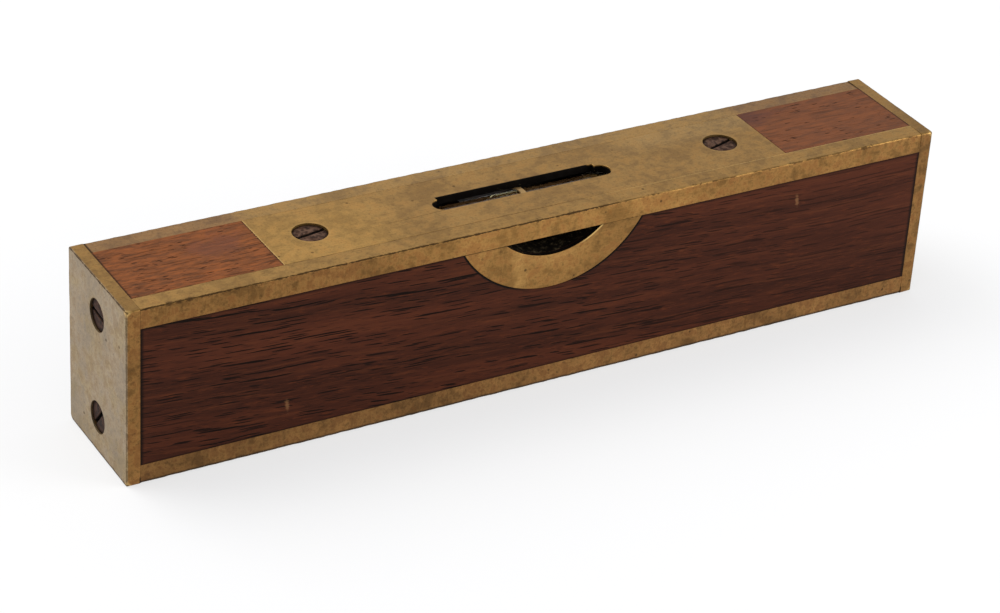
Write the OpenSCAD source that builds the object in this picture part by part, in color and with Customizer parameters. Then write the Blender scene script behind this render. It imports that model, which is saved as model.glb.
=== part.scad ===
// Brass-bound wooden machinist level, millimetres.
// X runs along the level, the front face looks along -Y, +Z is up, and the origin is the middle of the sole.

/* [Body] */
// Overall length over both end plates
level_len = 203.2; // [170:0.1:310]
// Overall width across the bindings
level_w = 30.2; // [28:0.1:40]
// Overall height from the sole to the top plate
level_h = 42.8; // [40:0.1:60]

/* [Brass binding] */
// Side of the square brass bars let into the four long edges
binding_leg = 4.75; // [3.5:0.05:5.5]
// Radius of the worn outer edge of a binding bar
binding_round = 0.5; // [0.2:0.05:1]
// Thickness of an end plate
end_plate_t = 3.2; // [2.4:0.1:5]
// Radius of the corners of an end plate's outline
end_corner_r = 0.6; // [0.4:0.1:2]
// Bevel round the outer face of an end plate
end_bevel = 0.35; // [0.1:0.05:0.8]
// Open joint between a binding bar and an end plate
binding_gap = 0.15; // [0.05:0.05:0.4]

/* [Top plate] */
// Length of the top plate
top_plate_len = 127; // [118:0.5:150]
// Thickness of the top plate
top_plate_t = 1.8; // [1.4:0.1:2.6]
// Length of the vial slot over its round ends
slot_len = 45; // [44:0.5:50]
// Width of the vial slot
slot_w = 5.6; // [5:0.1:7.5]
// Bevel round the vial slot
slot_bevel = 0.25; // [0.1:0.05:0.5]
// Width of the index bar that bows over the middle of the vial
index_w = 1.3; // [0.8:0.1:2]
// Thickness of the index bar
index_t = 0.25; // [0.15:0.05:0.4]
// Clearance between the index bar and the vial
index_clear = 0.3; // [0.25:0.05:0.4]
// Distance between the two top plate screws
top_screw_pitch = 104.6; // [102:0.2:110]

/* [Sight plates] */
// Thickness of the half-moon plate let into each side
sight_t = 1.2; // [0.8:0.1:2.4]
// Outer radius of a half-moon plate
sight_r_out = 26; // [23:0.1:29]
// Radius of the sight hole, cut from the same centre
sight_r_in = 17.8; // [15.5:0.1:19]
// Height of that centre above the lower edge of the top binding
sight_rise = 13.1; // [11:0.1:15]

/* [Fits] */
// Open joint round the inlaid plates
inlay_fit = 0.06; // [0.02:0.01:0.15]
// Radial clearance of the screws in their holes
screw_fit = 0.1; // [0.05:0.01:0.2]
// Clearance of the parts that turn or slide
run_fit = 0.08; // [0.04:0.01:0.1]

/* [Wood screws] */
// Head diameter of the top plate screws
top_head_d = 7.8; // [6:0.1:9]
// Length of the top plate screws
top_screw_len = 16; // [12:0.5:22]
// Head diameter of the end plate screws
end_head_d = 7.3; // [6:0.1:9]
// Length of the end plate screws
end_screw_len = 19; // [12:0.5:25]
// Distance between the two screws of an end plate
end_screw_pitch = 25.2; // [22:0.2:30]
// Shank diameter of all wood screws
shank_d = 4.2; // [3.5:0.1:4.6]
// Depth of the screw heads below the brass
screw_sink = 0.4; // [0.2:0.05:0.6]
// Width of the screwdriver slots
driver_slot_w = 0.9; // [0.6:0.1:1.2]
// Depth of the screwdriver slots
driver_slot_h = 1.1; // [0.6:0.1:1.4]

/* [Vial] */
// Outside diameter of the glass vial
vial_d = 11.1; // [10:0.1:11.6]
// Wall of the glass vial
vial_wall = 1; // [0.7:0.1:1.4]
// Length of the vial over its closed ends
vial_len = 48; // [46:0.5:48]
// Height of the vial's crown above the underside of the top plate, inside the slot
vial_crown = 0.15; // [-0.2:0.05:0.2]
// Length of the air bubble
bubble_len = 17; // [12:0.5:17.5]
// Height of the bubble's flat underside above the vial axis
bubble_floor = 2; // [1:0.1:2.6]
// Travel of the bubble each way from the middle
bubble_travel = 9.5; // [6:0.5:9.5]

/* [Vial cradle] */
// Thickness of the plaster between the vial and its cradle
plaster_t = 0.7; // [0.5:0.05:1]
// Length of the plaster bed at each end of the vial
plaster_len = 5.5; // [3:0.5:6]
// Wall of the cradle
cradle_wall = 0.9; // [0.7:0.1:1.2]
// End wall of the cradle
cradle_end_t = 1.2; // [0.8:0.1:1.6]
// Height of the cradle's rim above the vial axis
cradle_rim = 3.4; // [2:0.1:4]
// Depth of the cut-away sides below the vial axis
cradle_dip = 3; // [2:0.1:4]
// Length of the cut-away between the two ends of the cradle
cradle_window = 33; // [26:0.5:36]

/* [Adjuster] */
// Distance from the pivot pin to the adjusting screw
adjust_arm = 66; // [64:0.5:72]
// Diameter of the pivot pin
pivot_d = 2; // [1.6:0.1:2.4]
// Width of the cradle's hinge lug
lug_w = 5; // [4:0.1:6]
// Metal thickness of the hinge bracket
bracket_t = 1.2; // [0.8:0.1:1.6]
// Metal thickness of the screw hanger
hanger_t = 1.4; // [1:0.1:1.8]
// Width of the screw hanger
hanger_w = 9; // [7.5:0.1:10]
// Diameter of the adjusting screw
adjust_d = 3.2; // [2.6:0.1:3.4]
// Thread pitch of the adjusting screw
adjust_thread = 0.635; // [0.4:0.005:0.7]
// Turns of the adjusting screw each way from the middle
adjust_turns = 0.7; // [0.3:0.05:0.7]
// Thickness of the cradle's tapped flange
flange_t = 2; // [1.5:0.1:2.5]
// Wire of the adjusting spring
spring_wire = 0.7; // [0.5:0.05:0.7]
// Coils of the adjusting spring
spring_turns = 4.5; // [3:0.5:4.5]

/* [Hidden] */
$fn = 64;
past = 1;

// Frame of the body
half_len = level_len / 2;
core_len = level_len - 2 * end_plate_t;
inner_w = level_w - 2 * binding_leg;
plate_under = level_h - top_plate_t;
binding_low = level_h - binding_leg;
sight_z = binding_low + sight_rise;

// Screw slots, turned as the makers' hands left them
top_slot_angles = [10, 17];
left_slot_angles = [-40, 85];
right_slot_angles = [21, -35];
screw_land = 0.35;
screw_tip = 5;
screw_point_d = 0.8;

// Vial and cradle
vial_r = vial_d / 2;
vial_z = plate_under + vial_crown - vial_r;
bore_r = vial_r - vial_wall;
spirit_fit = 0.05;
spirit_r = bore_r - spirit_fit;
bubble_r = spirit_r - run_fit;
bubble_w = 2 * sqrt(bubble_r * bubble_r - bubble_floor * bubble_floor);
cradle_in = vial_r + plaster_t;
cradle_out = cradle_in + cradle_wall;
cradle_end_gap = 1;
cradle_half = vial_len / 2 + cradle_end_gap + cradle_end_t;
plaster_drop = 0.4;

// Index bar: a bow round the vial's axis, and the feet that start where its hollow side meets their underside
index_r = vial_r + index_clear;
index_low = plate_under - index_t;
foot_in = sqrt(index_r * index_r - (index_low - vial_z) * (index_low - vial_z));
index_foot = 1.8;

// Hinge at the left of the cradle
pivot_x = -adjust_arm / 2;
knuckle_wall = 1.4;
knuckle_r = pivot_d / 2 + knuckle_wall;
ear_over = 0.2;
ear_r = knuckle_r + ear_over;
ear_gap = 0.15;
ear_in = lug_w / 2 + ear_gap;
pin_fit = 0.01;
bracket_len = 9;
pin_over = 0.6;

// Captive screw at the right of the cradle, stacked downwards from the flange
screw_x = adjust_arm / 2;
adjust_travel = adjust_thread * adjust_turns;
flange_wall = 2.3;
flange_r = adjust_d / 2 + flange_wall;
flange_top = vial_z;
flange_low = flange_top - flange_t;
collar_h = 1.2;
collar_wall = 1.1;
collar_d = adjust_d + 2 * collar_wall;
collar_clear = 0.6;
collar_top = flange_low - adjust_travel - collar_clear;
web_top = collar_top - collar_h - run_fit;
web_low = web_top - hanger_t;
head_top = web_low - run_fit;
adjust_head_over = 1.4;
adjust_head_d = adjust_d + 2 * adjust_head_over;
adjust_head_h = 2;
adjust_slot_w = 0.8;
adjust_slot_h = 0.9;
head_low = head_top - adjust_head_h;
thread_fit = 0.1;
screw_free_end = 1;
hanger_clear = 1.8;
hanger_reach = flange_r + hanger_clear;
web_over = 1;
foot_clear = 0.5;
screw_dome = 0.5;

// Spring between the flange and the underside of the top plate
spring_clear = 0.65;
spring_r = adjust_d / 2 + spring_clear + spring_wire / 2;
spring_seat = 0.05;
spring_low = flange_top + spring_wire / 2 + spring_seat;
spring_high = plate_under - spring_wire / 2 - spring_seat;
spring_rings = 8;
spring_sides = 6;

// Mortise that takes the cradle and its adjuster
mortise_side = 1.35;
mortise_end = 1.9;
mortise_under = 1.5;
mortise_w = 2 * (cradle_out + mortise_side);
mortise_half = screw_x + hanger_reach + hanger_t + mortise_end;
mortise_floor = min(vial_z - cradle_out, head_low) - mortise_under;

// A slot shape with round ends, centred, along X
module stadium(length, width) {
    square([length - width, width], center = true);
    for (side = [-1, 1]) translate([side * (length - width) / 2, 0]) circle(d = width);
}

// A rectangle with round corners, centred
module round_rect(size_x, size_y, corner) {
    square([size_x - 2 * corner, size_y], center = true);
    square([size_x, size_y - 2 * corner], center = true);
    for (sx = [-1, 1], sy = [-1, 1])
        translate([sx * (size_x / 2 - corner), sy * (size_y / 2 - corner)]) circle(r = corner);
}

// A profile drawn in X and Z, pulled along Y from y_from by depth
module pull_y(y_from, depth) {
    translate([0, y_from + depth, 0]) rotate([90, 0, 0]) linear_extrude(depth) children();
}

// A profile drawn in Y and Z, pulled along X, centred
module pull_x(length) {
    rotate([90, 0, 90]) linear_extrude(length, center = true) children();
}

// A countersunk wood screw, head up at the origin, pointing down
module wood_screw(head_d, length, slot_angle) {
    neck = -screw_land - (head_d - shank_d) / 2;
    difference() {
        rotate_extrude() polygon([
            [0, 0], [head_d / 2, 0], [head_d / 2, -screw_land], [shank_d / 2, neck],
            [shank_d / 2, screw_tip - length], [screw_point_d / 2, -length], [0, -length]
        ]);
        rotate(slot_angle) translate([-head_d, -driver_slot_w / 2, -driver_slot_h])
            cube([2 * head_d, driver_slot_w, driver_slot_h + past]);
    }
}

// The hole for that screw, opened up by its fit and carried past the brass above the head
module wood_screw_hole(head_d, length) {
    neck = -screw_land - (head_d - shank_d) / 2;
    head_r = head_d / 2 + screw_fit;
    shank_r = shank_d / 2 + screw_fit;
    rotate_extrude() polygon([
        [0, screw_sink + past], [head_r, screw_sink + past], [head_r, -screw_land], [shank_r, neck],
        [shank_r, -length - screw_fit], [0, -length - screw_fit]
    ]);
}

// Places a child at each top plate screw, its head sunk below the plate
module at_top_screws() {
    for (i = [0, 1])
        translate([(i - 0.5) * top_screw_pitch, 0, level_h - screw_sink]) {
            $screw = i;
            children();
        }
}

// Places a child at each screw of an end plate, head outwards; side is -1 on the left
module at_end_screws(side) {
    for (i = [0, 1])
        translate([side * (half_len - screw_sink), 0, level_h / 2 + (i - 0.5) * end_screw_pitch])
            rotate([0, side * 90, 0]) {
                $screw = i;
                children();
            }
}

// The half-moon outline and the sight hole, drawn in X and Z below the top binding
module below_binding() {
    intersection() {
        children();
        translate([-level_len, 0]) square([2 * level_len, binding_low]);
    }
}

module sight_circle(radius) {
    translate([0, sight_z]) circle(r = radius, $fn = 128);
}

// Body pieces

module stock() {
    color("#4b2a20") difference() {
        translate([-core_len / 2, -level_w / 2, 0]) cube([core_len, level_w, level_h]);
        // rabbets for the four binding bars
        for (sy = [-1, 1], z = [0, binding_low])
            translate([-level_len, sy > 0 ? inner_w / 2 : -level_w / 2 - past, z > 0 ? z : -past])
                cube([2 * level_len, binding_leg + past, binding_leg + past]);
        // seat of the top plate
        translate([-top_plate_len / 2 - inlay_fit, -level_w, plate_under])
            cube([top_plate_len + 2 * inlay_fit, 2 * level_w, top_plate_t + past]);
        // mortise for the vial
        translate([0, 0, mortise_floor]) linear_extrude(level_h) stadium(2 * mortise_half, mortise_w);
        // seats of the half-moon plates, and the sight holes behind them
        for (y = [-level_w / 2 - past, level_w / 2 - sight_t])
            pull_y(y, sight_t + past) below_binding() sight_circle(sight_r_out + inlay_fit);
        pull_y(-level_w, 2 * level_w) below_binding() sight_circle(sight_r_in);
        at_top_screws() wood_screw_hole(top_head_d, top_screw_len);
        for (side = [-1, 1]) at_end_screws(side) wood_screw_hole(end_head_d, end_screw_len);
    }
}

// A square bar with its outer edge worn round; sy and sz say which edge of the body it binds
module binding(sy, sz) {
    far_y = sy * level_w / 2;
    near_y = sy * (inner_w / 2 + inlay_fit / 2);
    far_z = sz > 0 ? level_h : 0;
    near_z = sz > 0 ? binding_low + inlay_fit / 2 : binding_leg - inlay_fit / 2;
    color("#a58450") pull_x(core_len - 2 * binding_gap) {
        translate([min(far_y - sy * binding_round, near_y), min(near_z, far_z)])
            square([abs(far_y - near_y) - binding_round, abs(far_z - near_z)]);
        translate([min(far_y, near_y), min(near_z, far_z - sz * binding_round)])
            square([abs(far_y - near_y), abs(far_z - near_z) - binding_round]);
        translate([far_y - sy * binding_round, far_z - sz * binding_round]) circle(r = binding_round);
    }
}

// A plate with round corners whose outer face is bevelled all round; side is -1 on the left
module end_plate(side) {
    // corner of a profile that cuts the bevel off one edge, span wide, of the right-hand plate
    module bevel_corner(span) {
        polygon([
            [half_len - end_bevel - past, span / 2 + past], [half_len + past, span / 2 - end_bevel - past],
            [half_len + past, span / 2 + past]
        ]);
    }
    color("#a8976f") difference() {
        mirror([side < 0 ? 1 : 0, 0, 0]) translate([0, 0, level_h / 2]) difference() {
            translate([half_len - end_plate_t / 2, 0, 0]) pull_x(end_plate_t) round_rect(level_w, level_h, end_corner_r);
            for (edge = [0, 1]) mirror([0, edge, 0])
                linear_extrude(2 * level_h, center = true) bevel_corner(level_w);
            for (edge = [0, 1]) mirror([0, 0, edge]) pull_y(-level_w, 2 * level_w) bevel_corner(level_h);
        }
        at_end_screws(side) wood_screw_hole(end_head_d, end_screw_len);
    }
}

module end_screws(side, angles) {
    color("#4a423c") at_end_screws(side) wood_screw(end_head_d, end_screw_len, angles[$screw]);
}

// Top plate with its bevelled vial slot

module top_plate() {
    straight = (slot_len - slot_w) / 2;
    color("#a58450") difference() {
        translate([-top_plate_len / 2, -inner_w / 2, plate_under]) cube([top_plate_len, inner_w, top_plate_t]);
        translate([0, 0, plate_under - past]) linear_extrude(top_plate_t + 2 * past) stadium(slot_len, slot_w);
        // bevel: a cone at each end of the slot and a tapered trough between them
        for (side = [-1, 1]) translate([side * straight, 0, level_h - slot_bevel])
            cylinder(d1 = slot_w, d2 = slot_w + 4 * slot_bevel, h = 2 * slot_bevel);
        pull_x(2 * straight) polygon([
            [-slot_w / 2, level_h - slot_bevel], [slot_w / 2, level_h - slot_bevel],
            [slot_w / 2 + 2 * slot_bevel, level_h + slot_bevel], [-slot_w / 2 - 2 * slot_bevel, level_h + slot_bevel]
        ]);
        at_top_screws() wood_screw_hole(top_head_d, top_screw_len);
    }
}

// A thin strip bowed over the vial, its feet soldered under the plate, that the bubble is centred on
module index_bar() {
    rise = index_r + index_t;
    bow_w = slot_w - 2 * run_fit;
    color("#b08d57") pull_x(index_w) {
        intersection() {
            translate([0, vial_z]) difference() {
                circle(r = rise);
                circle(r = index_r);
            }
            union() {
                translate([-rise, index_low]) square([2 * rise, index_t]);
                translate([-bow_w / 2, index_low]) square([bow_w, level_h]);
            }
        }
        for (side = [-1, 1]) translate([side * (foot_in + index_foot / 2), index_low + index_t / 2])
            square([index_foot, index_t], center = true);
    }
}

module top_plate_screws() {
    color("#4a423c") at_top_screws() wood_screw(top_head_d, top_screw_len, top_slot_angles[$screw]);
}

// A half-moon with the sight hole struck from the same centre
module sight_plate(side) {
    color("#a88750") pull_y(side < 0 ? -level_w / 2 : level_w / 2 - sight_t, sight_t) below_binding() difference() {
        sight_circle(sight_r_out);
        sight_circle(sight_r_in);
    }
}

// Hinge and adjuster, soldered under the top plate

module hinge_bracket() {
    color("#9c7c48") difference() {
        union() {
            translate([pivot_x - bracket_len / 2, -ear_in - bracket_t, plate_under - bracket_t])
                cube([bracket_len, 2 * (ear_in + bracket_t), bracket_t]);
            for (y = [-ear_in - bracket_t, ear_in]) pull_y(y, bracket_t) {
                translate([pivot_x - ear_r, vial_z]) square([2 * ear_r, plate_under - vial_z]);
                translate([pivot_x, vial_z]) circle(r = ear_r);
            }
        }
        pull_y(-level_w, 2 * level_w) translate([pivot_x, vial_z]) circle(d = pivot_d + 2 * pin_fit);
    }
}

module pivot_pin() {
    pin_half = ear_in + bracket_t + pin_over;
    color("#8a8680") pull_y(-pin_half, 2 * pin_half) translate([pivot_x, vial_z]) circle(d = pivot_d);
}

// A strap bent to a C: foot under the plate, leg, and web that the screw turns in
module screw_hanger() {
    leg_x = screw_x + hanger_reach;
    foot_x = screw_x + spring_r + spring_wire / 2 + foot_clear;
    web_x = screw_x - adjust_head_d / 2 - web_over;
    color("#9c7c48") difference() {
        pull_y(-hanger_w / 2, hanger_w) {
            translate([foot_x, plate_under - hanger_t]) square([leg_x + hanger_t - foot_x, hanger_t]);
            translate([leg_x, web_low]) square([hanger_t, plate_under - web_low]);
            translate([web_x, web_low]) square([leg_x + hanger_t - web_x, hanger_t]);
        }
        translate([screw_x, 0, web_low - past]) cylinder(d = adjust_d + 2 * run_fit, h = hanger_t + 2 * past);
    }
}

// The screw is held at its neck, so it turns without rising; its head faces down
module adjusting_screw() {
    color("#6b645a") translate([screw_x, 0, 0]) difference() {
        union() {
            translate([0, 0, head_low]) cylinder(d = adjust_head_d, h = adjust_head_h);
            translate([0, 0, head_top]) cylinder(d = adjust_d, h = plate_under - screw_free_end - screw_dome - head_top);
            translate([0, 0, plate_under - screw_free_end - screw_dome])
                cylinder(d1 = adjust_d, d2 = adjust_d - 2 * screw_dome, h = screw_dome);
        }
        translate([-adjust_head_d, -adjust_slot_w / 2, head_low - past])
            cube([2 * adjust_head_d, adjust_slot_w, adjust_slot_h + past]);
    }
}

// A ring riveted to the screw above the hanger's web
module screw_collar() {
    color("#9c7c48") translate([screw_x, 0, collar_top - collar_h]) difference() {
        cylinder(d = collar_d, h = collar_h);
        translate([0, 0, -past]) cylinder(d = adjust_d + 2 * pin_fit, h = collar_h + 2 * past);
    }
}

// Centre line of the spring wire after a turn of angle degrees
function spring_point(angle) = [
    spring_r * cos(angle), spring_r * sin(angle),
    spring_low + (spring_high - spring_low) * angle / (360 * spring_turns)
];

spring_steps = spring_turns * spring_rings;
spring_lead = atan((spring_high - spring_low) / (2 * PI * spring_r * spring_turns));
spring_line = [for (i = [0 : spring_steps]) spring_point(i * 360 / spring_rings)];
spring_gap = min([
    for (i = [0 : spring_steps], j = [0 : spring_steps])
        if (j - i >= spring_rings / 2) norm(spring_line[j] - spring_line[i])
]) - spring_wire;
echo(least_gap_between_spring_coils = spring_gap);

module adjusting_spring() {
    n = spring_sides;
    rings = len(spring_line);
    points = [
        for (i = [0 : rings - 1], k = [0 : n - 1]) let (turn = i * 360 / spring_rings, a = k * 360 / n)
            spring_line[i] + spring_wire / 2 * (cos(a) * [cos(turn), sin(turn), 0]
                + sin(a) * [sin(turn) * sin(spring_lead), -cos(turn) * sin(spring_lead), cos(spring_lead)])
    ];
    sides = [
        for (i = [0 : rings - 2], k = [0 : n - 1]) let (a = i * n + k, b = i * n + (k + 1) % n)
            each [[a, a + n, b], [b, a + n, b + n]]
    ];
    caps = [for (k = [1 : n - 2]) each [[0, k, k + 1], [rings * n - n, rings * n - n + k + 1, rings * n - n + k]]];
    color("#77726a") translate([screw_x, 0, 0]) polyhedron(points, concat(sides, caps));
}

// Vial and cradle

// The trough outline in Y and Z: round below, straight sides up to a rim
module trough(radius, rim) {
    translate([0, vial_z]) {
        difference() {
            circle(r = radius);
            translate([-radius - past, 0]) square(2 * (radius + past));
        }
        translate([-radius, 0]) square([2 * radius, rim]);
    }
}

module vial_cradle() {
    inside = cradle_half - cradle_end_t;
    color("#2b2826") difference() {
        union() {
            difference() {
                pull_x(2 * cradle_half) trough(cradle_out, cradle_rim);
                // the hollow, open at the top
                pull_x(2 * inside) trough(cradle_in, cradle_rim + past);
                // the sides are cut away where the vial is read
                translate([-cradle_window / 2, -level_w, vial_z - cradle_dip])
                    cube([cradle_window, 2 * level_w, level_h]);
            }
            // hinge lug
            pull_y(-lug_w / 2, lug_w) {
                translate([pivot_x, vial_z - knuckle_r]) square([-pivot_x - inside - cradle_end_t / 2, 2 * knuckle_r]);
                translate([pivot_x, vial_z]) circle(r = knuckle_r);
            }
            // tapped flange
            translate([0, 0, flange_low]) linear_extrude(flange_t) {
                translate([inside + cradle_end_t / 2, -flange_r])
                    square([screw_x - inside - cradle_end_t / 2, 2 * flange_r]);
                translate([screw_x, 0]) circle(r = flange_r);
            }
        }
        pull_y(-level_w, 2 * level_w) translate([pivot_x, vial_z]) circle(d = pivot_d + 2 * run_fit);
        translate([screw_x, 0, flange_low - past]) cylinder(d = adjust_d + 2 * thread_fit, h = flange_t + 2 * past);
    }
}

// A closed tube with round ends along X
module capsule(radius, length) {
    translate([0, 0, vial_z]) rotate([0, 90, 0]) {
        cylinder(r = radius, h = length - 2 * radius, center = true);
        for (side = [-1, 1]) translate([0, 0, side * (length / 2 - radius)]) sphere(r = radius);
    }
}

// Plaster that beds one end of the vial; side is -1 on the left
module plaster(side) {
    far = cradle_half - cradle_end_t;
    color("#cfc8b8") difference() {
        translate([side * (far - plaster_len / 2), 0, 0]) pull_x(plaster_len) trough(cradle_in, cradle_rim - plaster_drop);
        capsule(vial_r, vial_len);
    }
}

module vial_glass() {
    color("#cfd8cc", 0.4) difference() {
        capsule(vial_r, vial_len);
        capsule(bore_r, vial_len - 2 * vial_wall);
    }
}

// Spirit fills the vial up to the channel that the bubble travels in
module spirit() {
    channel = 2 * (bubble_travel + bubble_len / 2 + run_fit);
    color("#c9c46a", 0.6) difference() {
        capsule(spirit_r, vial_len - 2 * vial_wall);
        translate([-channel / 2, -level_w, vial_z + bubble_floor - run_fit]) cube([channel, 2 * level_w, level_h]);
    }
}

module bubble() {
    color("#eef4ea", 0.5) intersection() {
        translate([0, 0, vial_z]) rotate([0, 90, 0]) cylinder(r = bubble_r, h = level_len, center = true);
        translate([0, 0, vial_z + bubble_floor]) linear_extrude(level_h) stadium(bubble_len, bubble_w);
    }
}

stock();
binding(-1, 1);  // binding_top_front
binding(1, 1);  // binding_top_back
binding(-1, -1);  // binding_bottom_front
binding(1, -1);  // binding_bottom_back
end_plate(-1);  // end_plate_left
end_plate(1);  // end_plate_right
end_screws(-1, left_slot_angles);  // end_screws_left
end_screws(1, right_slot_angles);  // end_screws_right
top_plate();
index_bar();
top_plate_screws();
sight_plate(-1);  // sight_plate_front
sight_plate(1);  // sight_plate_back
hinge_bracket();
pivot_pin();
screw_hanger();
adjusting_screw();
screw_collar();
adjusting_spring();
vial_cradle();
plaster(-1);  // plaster_left
plaster(1);  // plaster_right
vial_glass();
spirit();
bubble();
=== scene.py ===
# %% [markdown]
# # A brass-bound machinist level
# The real level is a block of rosewood with brass bars let into its long edges, a brass plate screwed over
# each end, and a slotted brass plate over the vial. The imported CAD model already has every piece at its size
# and place. This lesson keeps that frame, models the worn edges, threads and curved glass that the solids
# leave plain, and gives each piece its finish.

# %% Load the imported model
import math

import bmesh
import bpy
from mathutils import Matrix, Vector


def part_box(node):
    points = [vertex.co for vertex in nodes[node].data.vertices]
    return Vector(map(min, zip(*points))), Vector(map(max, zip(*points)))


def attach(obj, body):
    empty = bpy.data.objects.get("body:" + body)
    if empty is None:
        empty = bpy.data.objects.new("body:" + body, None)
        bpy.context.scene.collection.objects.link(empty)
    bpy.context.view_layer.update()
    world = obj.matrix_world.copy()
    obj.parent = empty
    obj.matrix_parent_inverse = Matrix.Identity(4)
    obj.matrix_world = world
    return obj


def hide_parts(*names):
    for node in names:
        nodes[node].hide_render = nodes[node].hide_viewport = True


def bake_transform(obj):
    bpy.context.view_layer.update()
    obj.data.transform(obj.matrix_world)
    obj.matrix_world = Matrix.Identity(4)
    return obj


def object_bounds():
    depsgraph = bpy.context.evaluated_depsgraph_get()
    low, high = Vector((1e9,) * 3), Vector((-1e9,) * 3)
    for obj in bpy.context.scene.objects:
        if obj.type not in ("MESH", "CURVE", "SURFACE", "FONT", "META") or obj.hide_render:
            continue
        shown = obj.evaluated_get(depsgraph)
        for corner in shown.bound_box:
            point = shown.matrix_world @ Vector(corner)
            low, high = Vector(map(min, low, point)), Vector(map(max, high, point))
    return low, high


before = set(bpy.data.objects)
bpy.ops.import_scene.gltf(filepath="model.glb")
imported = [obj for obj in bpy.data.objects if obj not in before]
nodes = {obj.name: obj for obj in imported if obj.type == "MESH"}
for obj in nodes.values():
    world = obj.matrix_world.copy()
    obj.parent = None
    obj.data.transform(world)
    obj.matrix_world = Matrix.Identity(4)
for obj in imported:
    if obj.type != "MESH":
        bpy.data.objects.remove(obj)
cad_low, cad_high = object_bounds()
MM = 0.001
print("level, mm:", [round(side / MM, 2) for side in cad_high - cad_low], "nodes:", len(nodes))

# %% [markdown]
# ## The camera
# The picture was taken with a long lens from the front left, looking down. The turn, rise, roll and distance
# were found by matching the corners of the level to their places in a picture 1000 pixels wide. The focal
# length is written in those pixels, and the sensor width turns it into a lens.

# %% Camera
PICTURE_WIDTH = 1000
FOCAL_PIXELS = 3171.5
CAMERA_TURN = math.radians(-31.359)
CAMERA_RISE = math.radians(30.397)
CAMERA_ROLL = math.radians(3.791)
CAMERA_PLACE = Vector((-324.77, -527.07, 374.73)) * MM

turn = Matrix.Rotation(CAMERA_TURN, 4, "Z")
tilt = Matrix.Rotation(math.radians(90) - CAMERA_RISE, 4, "X")
roll = Matrix.Rotation(CAMERA_ROLL, 4, "Z")
camera = bpy.data.objects.new("camera", bpy.data.cameras.new("camera"))
bpy.context.scene.collection.objects.link(camera)
camera.matrix_world = Matrix.Translation(CAMERA_PLACE) @ turn @ tilt @ roll
camera.data.lens = camera.data.sensor_width * FOCAL_PIXELS / PICTURE_WIDTH
camera.data.clip_start = 10 * MM
bpy.context.scene.camera = camera
print("lens, mm:", round(camera.data.lens, 1))

# %% [markdown]
# ## Shader maths
# A finish is easier to read as a sum than as a web of nodes. This small class wraps a socket, so that
# arithmetic on it adds Math nodes, and one method, node, adds any other node with its sockets and settings.

# %% A class for shader maths
NOISE_SHIFT = (1, 0.7, 1.3)


def operator(operation):
    """A method that adds one Math node."""
    return lambda *values: values[0].math(operation, *values)


def fill(node, sockets):
    """Sets the sockets of a node, and links those that are given a Tint."""
    for key, value in sockets.items():
        if isinstance(value, Tint):
            node.id_data.links.new(value.socket, node.inputs[key])
        else:
            node.inputs[key].default_value = value


class Tint:
    """A socket on its way to the shader."""

    def __init__(self, tree, socket=None):
        self.tree = tree
        self.socket = socket

    def node(self, kind, sockets=None, out=0, **settings):
        """Adds a node, sets it up, fills its sockets, and returns one of its outputs."""
        made = self.tree.nodes.new("ShaderNode" + kind)
        for key, value in settings.items():
            setattr(made, key, value)
        fill(made, sockets or {})
        return Tint(self.tree, made.outputs[out])

    def math(self, operation, *values):
        return self.node("Math", dict(enumerate(values)), operation=operation)

    __add__ = __radd__ = operator("ADD")
    __mul__ = __rmul__ = operator("MULTIPLY")
    __sub__ = operator("SUBTRACT")
    __abs__ = operator("ABSOLUTE")
    most = operator("MAXIMUM")

    def __rsub__(self, other):
        return self.math("SUBTRACT", other, self)

    def step(self, start, end):
        """0 at start, 1 at end, smooth between. The start may be the larger one."""
        low, high = sorted((start, end))
        ramp = self.node("MapRange", {"Value": self, "From Min": low, "From Max": high},
                         interpolation_type="SMOOTHSTEP")
        return ramp if start < end else 1 - ramp

    def blend(self, under, over):
        """The colour under where this is 0, and over where it is 1."""
        return self.node("Mix", {0: self, 6: under, 7: over}, out=2, data_type="RGBA")

    def stretch(self, x, y, z):
        """A place squeezed along each axis, so that a pattern on it is drawn out the other way."""
        return self.node("VectorMath", {0: self, 1: (x, y, z)}, operation="MULTIPLY")

    def noise(self, scale, detail=4, rough=0.55, shift=0):
        """Cloudy noise on this place, whose clouds are about 1 / scale mm wide."""
        apart = [shift * part for part in NOISE_SHIFT]
        moved = self.node("VectorMath", {0: self, 1: apart}, operation="ADD")
        return self.node("TexNoise", {"Vector": moved, "Scale": scale, "Detail": detail, "Roughness": rough})

    def cells(self, scale):
        """Distance to the nearest of many scattered points."""
        return self.node("TexVoronoi", {"Vector": self, "Scale": scale}, out="Distance")

    def bump(self, strength, depth):
        """The normal of a surface that rises and falls with this height, by a depth in mm."""
        return self.node("Bump", {"Strength": strength, "Distance": depth * MM, "Height": self}, out="Normal")


def far(a, b):
    """How far off a place is that lies a and b away along two axes."""
    square = a * a + b * b
    return square.math("SQRT", square)


def axes(place):
    """The x, y and z of a place."""
    return [place.node("SeparateXYZ", {"Vector": place}, out=axis) for axis in "XYZ"]


def facing_up(place):
    """1 on a surface that faces up, 0 on an upright one."""
    return axes(place.node("NewGeometry", out="Normal"))[2]


def rgb(red, green, blue):
    """A colour from its sRGB bytes, as the shader reads it."""
    parts = (red, green, blue)
    return tuple(((part / 255 + 0.055) / 1.055) ** 2.4 if part > 10 else part / 3295 for part in parts) + (1,)


def layered(colour, *layers):
    """A colour with others laid over it in turn, each as far as its mask says."""
    for mask, over in layers:
        colour = mask.blend(colour, over)
    return colour


def new_finish(name):
    """A new material, and the place on the piece in mm that its patterns read."""
    material = bpy.data.materials.new(name)
    material.use_nodes = True
    place = Tint(material.node_tree).node("TexCoord", out="Object").stretch(1 / MM, 1 / MM, 1 / MM)
    return material, place


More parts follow.
